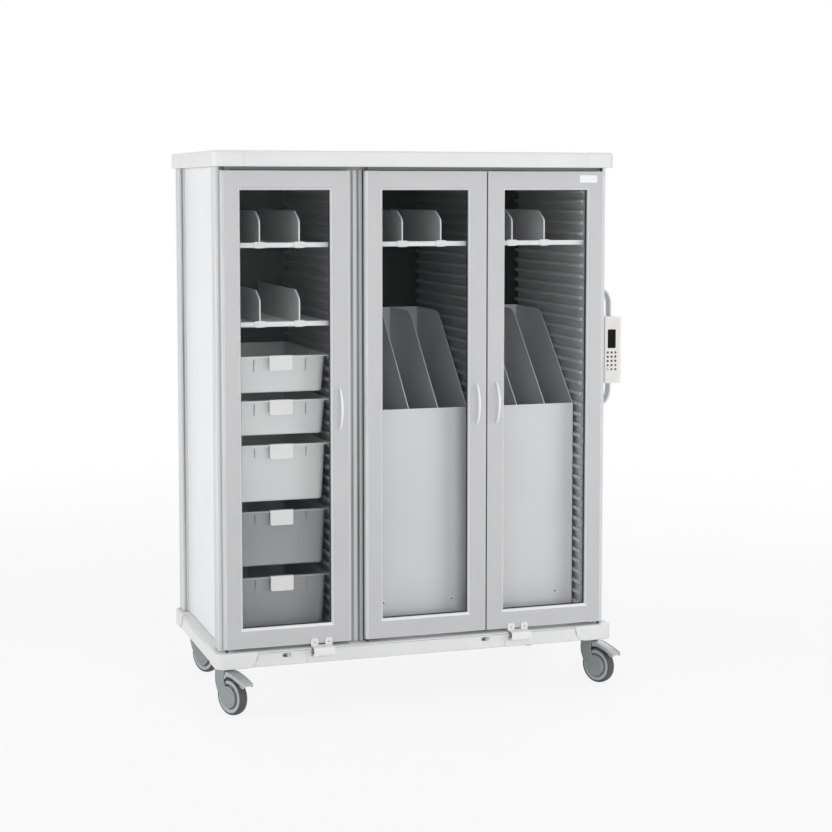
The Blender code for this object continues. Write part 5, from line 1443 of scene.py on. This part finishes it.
def make_shelf(node, column, dividers):
    """Plate and clips are one piece, the dividers are clear sheets, and a round bright bead follows their
    front and sloped edge."""
    middle = LEFT + COLUMNS[column]
    top = box_of(node)[1][2] - DIVIDER_HEIGHT
    shells = plate_shells(middle, top)
    upright = divider_outline(top)
    path = np.array([SHELF_FRONT, top]) + BEAD_PATH
    sheets, beads = [], []
    for offset in dividers:
        x = middle + offset
        sheets.append(slab(upright, "x", x - DIVIDER_HALF, x + DIVIDER_HALF, edge=0.0007))
        beads.append(swept(stood(path, x, "x"), oval(BEAD_RADIUS, BEAD_RADIUS, steps=10), (1, 0, 0)))
        shells.append(clip_shell(x, top))
    piece("plate_" + node, shells, TRAY_PLASTIC, "cabinet", [node])
    piece("dividers_" + node, sheets, DIVIDER_CLEAR, "cabinet")
    piece("divider_edges_" + node, beads, LABEL_WHITE, "cabinet")


for shelf_node, (shelf_column, divider_places) in SHELVES.items():
    make_shelf(shelf_node, shelf_column, divider_places)

# %% [markdown]
# ## Trays and baskets
# Trays are deep-drawn tubs that narrow towards the floor and hang by a rim. A box with its top face removed
# and a Solidify would lose the rim's small steps, so the tub is a stack of rounded rectangles: outside from
# the floor up, out under the rim and over it, and down again inside. On the front and the back the rim also
# turns down into a short skirt. A white holder is clipped over the front rim.

# %% Tubs
TRAYS = {"tray_upper": 0.122, "tray_middle": 0.116, "tray_lower": 0.190, "basket_upper": 0.186,
         "basket_lower": 0.186}
TUB_HALF, TUB_LIP, TUB_FOOT, TUB_WALL, TUB_TAPER = 0.156, 0.013, 0.006, 0.0025, 0.010
FOOT_STEPS = 4
FLOOR_CORNER, FOOT_CORNER, INNER_CORNER = 0.010, 0.016, 0.014
# Rows (drawn out from the wall, below the top, corner): under the rim, its lower edge, outer edge, inside.
RIM_UNDER = [(-0.0006, 0.006, 0.018), (0.0012, 0.0032, 0.018), (TUB_LIP - 0.002, 0.0040, 0.008)]
RIM_SKIRT = [(TUB_LIP - 0.0016, 0.0040, 0.008), (TUB_LIP, 0.0040, 0.008)]
RIM_OVER = [(TUB_LIP, 0.0012, 0.008), (TUB_LIP - 0.0012, 0, 0.008), (-0.001, 0, 0.017),
            (-TUB_WALL, 0.0015, 0.016)]
SKIRT_HALF, SKIRT_DROP = 0.158, 0.005


def tub_row(middle, grow, z, corner):
    """Rounded rectangle of the tub's mouth, drawn out by grow, at a height."""
    ring = oblong(middle - TUB_HALF - grow, INSERT_FRONT - grow, middle + TUB_HALF + grow,
                  INSERT_BACK + grow, corner, steps=6)
    return stood(ring, z, "z")


def tub(middle, rim, height):
    """Stacks the rows; the skirt's rows hang lower where the rim faces front or back."""
    low = rim - height
    inner_foot = TUB_FOOT - TUB_WALL
    places = [(-TUB_TAPER - TUB_FOOT, low, FLOOR_CORNER)]
    places += [(-TUB_TAPER - tuck, low + up, FOOT_CORNER)
               for tuck, up in quarter_round(TUB_FOOT, FOOT_STEPS)]
    places += [(grow, rim - below, corner) for grow, below, corner in RIM_UNDER]
    skirt = len(places)
    over = skirt + len(RIM_SKIRT)
    places += [(grow, rim - below, corner) for grow, below, corner in RIM_SKIRT + RIM_OVER]
    places += [(-TUB_TAPER - TUB_WALL - tuck, low + TUB_WALL + up, INNER_CORNER)
               for tuck, up in quarter_round(inner_foot, FOOT_STEPS)[::-1]]
    grid = np.stack([tub_row(middle, *place) for place in places])
    edge_y = grid[skirt + 1, :, 1]
    at_end = np.isclose(edge_y, INSERT_FRONT - TUB_LIP) | np.isclose(edge_y, INSERT_BACK + TUB_LIP)
    hangs = at_end & (np.abs(grid[skirt, :, 0] - middle) < SKIRT_HALF)
    grid[skirt:over, :, 2] -= np.where(hangs, SKIRT_DROP, 0.0)
    # Painted highlight: the rows over the top of the rim take the finish's lighter tone.
    painted_light = np.zeros((len(places), 1))
    painted_light[over:over + len(RIM_OVER)] = 1
    return woven(grid, painted_light=painted_light)


print("tubs for", ", ".join(TRAYS))

# %% Trays and baskets
RIM_SUNK = 0.002
SHADOW_LINE_PLACE, SHADOW_LINE_HALF = 0.087, 0.0013
# Side of a painted shadow line as (behind the tub's front, above the rim).
SHADOW_LINE_SIDE = np.array([(-0.0012, -0.012), (0.003, -0.012), (0.0055, -0.050), (0.0035, -0.050)])
DIVIDER_PLACE, BASKET_DIVIDER_HALF, DIVIDER_DROP = 0.010, 0.00125, 0.012
DIVIDER_LIFT, DIVIDER_TOP_GAP, DIVIDER_FOOT_GAP = 0.0012, 0.002, 0.0115
LABEL_HALF, LABEL_RISE, LABEL_DROP = 0.039, 0.002, 0.048
LABEL_CORNERS = [0.002, 0.007, 0.007, 0.002]
LABEL_FRONT, LABEL_BACK = 0.002, 0.0008
HOOK_THICKNESS, HOOK_GAP, HOOK_DROP = 0.0012, 0.0004, 0.002


def shadow_line_shells(middle, rim):
    """Two upright dark lines of painted shadow, for the shade of small recesses, that follow the slope of
    the tub's front.
    """
    side = softened(np.array([INSERT_FRONT, rim]) + SHADOW_LINE_SIDE, radius=0.0006, steps=2)
    return [slab(side, "x", x - SHADOW_LINE_HALF, x + SHADOW_LINE_HALF, edge=0.0004)
            for x in (middle - SHADOW_LINE_PLACE, middle + SHADOW_LINE_PLACE)]


def basket_divider(middle, rim, height):
    """Upright sheet from front to back that narrows with the basket towards its floor."""
    foot, top = rim - height + DIVIDER_LIFT, rim - DIVIDER_DROP
    x = middle + DIVIDER_PLACE
    side = softened([(INSERT_FRONT + DIVIDER_FOOT_GAP, foot), (INSERT_FRONT + DIVIDER_TOP_GAP, top),
                     (INSERT_BACK - DIVIDER_TOP_GAP, top), (INSERT_BACK - DIVIDER_FOOT_GAP, foot)],
                    radius=0.002, steps=3)
    return slab(side, "x", x - BASKET_DIVIDER_HALF, x + BASKET_DIVIDER_HALF, edge=0.0004)


def label_shells(middle, rim):
    """Label holder: a plate in front of the skirt and a thin hook over the rim."""
    front, top, foot = INSERT_FRONT - TUB_LIP, rim + LABEL_RISE, rim - LABEL_DROP
    left, right = middle - LABEL_HALF, middle + LABEL_HALF
    outline = softened([(left, top), (left, foot), (right, foot), (right, top)], LABEL_CORNERS)
    hook_back, hook_end, hook_foot = front + TUB_LIP, front + HOOK_THICKNESS, rim - HOOK_DROP
    hook = softened([(front, hook_foot), (front, top), (hook_back, top), (hook_back, rim + HOOK_GAP),
                     (hook_end, rim + HOOK_GAP), (hook_end, hook_foot)], radius=0.0003, steps=2)
    return [slab(outline, "y", front - LABEL_FRONT, front + LABEL_BACK, edge=0.0008),
            slab(hook, "x", left, right, edge=0.0001)]


def make_tray(node, height):
    """Tub with a divider if it is a basket; its painted shadow lines and its label holder are pieces of
    their own.
    """
    middle, clear = LEFT + COLUMNS["left"], node.startswith("basket")
    rim = box_of(node)[1][2] - RIM_SUNK
    shells = [tub(middle, rim, height)]
    if clear:
        shells.append(basket_divider(middle, rim, height))
    coat, slot = (SMOKE_CLEAR, "basket_plastic") if clear else (TRAY_PLASTIC, "tray_plastic")
    piece("tub_" + node, shells, coat, node, [node])
    # Painted shadow: grey lines on the tub's front stand for the shade of small recesses.
    piece("painted_shadow_lines_" + node, shadow_line_shells(middle, rim), SEAL_GREY, node)
    piece("label_" + node, label_shells(middle, rim), LABEL_WHITE, node)


for tray_node, tray_height in TRAYS.items():
    make_tray(tray_node, tray_height)

# %% [markdown]
# ## Bins
# The tall bins are bent from sheet: a plain front, two sides and two dividers that slope up to a higher
# back. One folded surface would do for the looks from the front; each wall is a soft-edged slab instead, so
# that its cut edge catches the light as a thin bright line, helped by a lighter tone on the edges as a
# painted highlight.

# %% Bins
BIN_HALF, BIN_WALL, BIN_EDGE, BIN_CORNER = 0.157, 0.003, 0.0009, 0.003
BIN_FRONT_TOP, SLOPE_TOP, WALL_TUCK = 0.990, FRONT + 0.400, 0.0012
BIN_WALLS = 4
SLOPE_CORNERS = [0.001, 0.001, 0.006, 0.040, 0.004]
BIN_SCREWS = {"middle": (-0.142, 0.101), "right": (-0.142, 0.094)}
BIN_SCREW_HEIGHT, BIN_SCREW = 0.331, 0.0042
WASHER_PROFILE = [(0.0030, 0.0004), (0.0062, 0.0004), (0.0068, 0.0), (0.0068, -0.0010), (0.0030, -0.0010)]


def make_bin(column):
    """Front, back and floor, four upright walls with a sloped top, and two screws on washers in front."""
    node = "bin_" + column
    (_, front, low), (_, back, high) = box_of(node)
    middle = LEFT + COLUMNS[column]
    left, right = middle - BIN_HALF, middle + BIN_HALF
    front_wall = oblong(left, low, right, BIN_FRONT_TOP, BIN_CORNER)
    back_wall = oblong(left, low, right, high, BIN_CORNER)
    floor = oblong(left, front, right, back, BIN_CORNER)
    shells = [slab(front_wall, "y", front, front + BIN_WALL, BIN_EDGE),
              slab(back_wall, "y", back - BIN_WALL, back, BIN_EDGE),
              slab(floor, "z", low, low + BIN_WALL, BIN_EDGE)]
    tucked = front + WALL_TUCK
    slope = softened([(tucked, low), (back, low), (back, high), (SLOPE_TOP, high), (tucked, BIN_FRONT_TOP)],
                     SLOPE_CORNERS, steps=6)
    pitch = (2 * BIN_HALF - BIN_WALL) / (BIN_WALLS - 1)
    for step in range(BIN_WALLS):
        start = left + step * pitch
        shells.append(slab(slope, "x", start, start + BIN_WALL, BIN_EDGE))
    piece("walls_" + node, shells, BIN_SATIN, "cabinet", [node])
    spots = [(middle + side, front, BIN_SCREW_HEIGHT) for side in BIN_SCREWS[column]]
    washers = [turned(WASHER_PROFILE, spot, (0, -1, 0), steps=24, closed=True) for spot in spots]
    piece("washers_" + node, washers, LABEL_WHITE, "cabinet")
    screws = [screw(spot, (0, -1, 0), BIN_SCREW) for spot in spots]
    piece("fixings_" + node, screws, DARK_STEEL, "cabinet")


for bin_column in BIN_SCREWS:
    make_bin(bin_column)
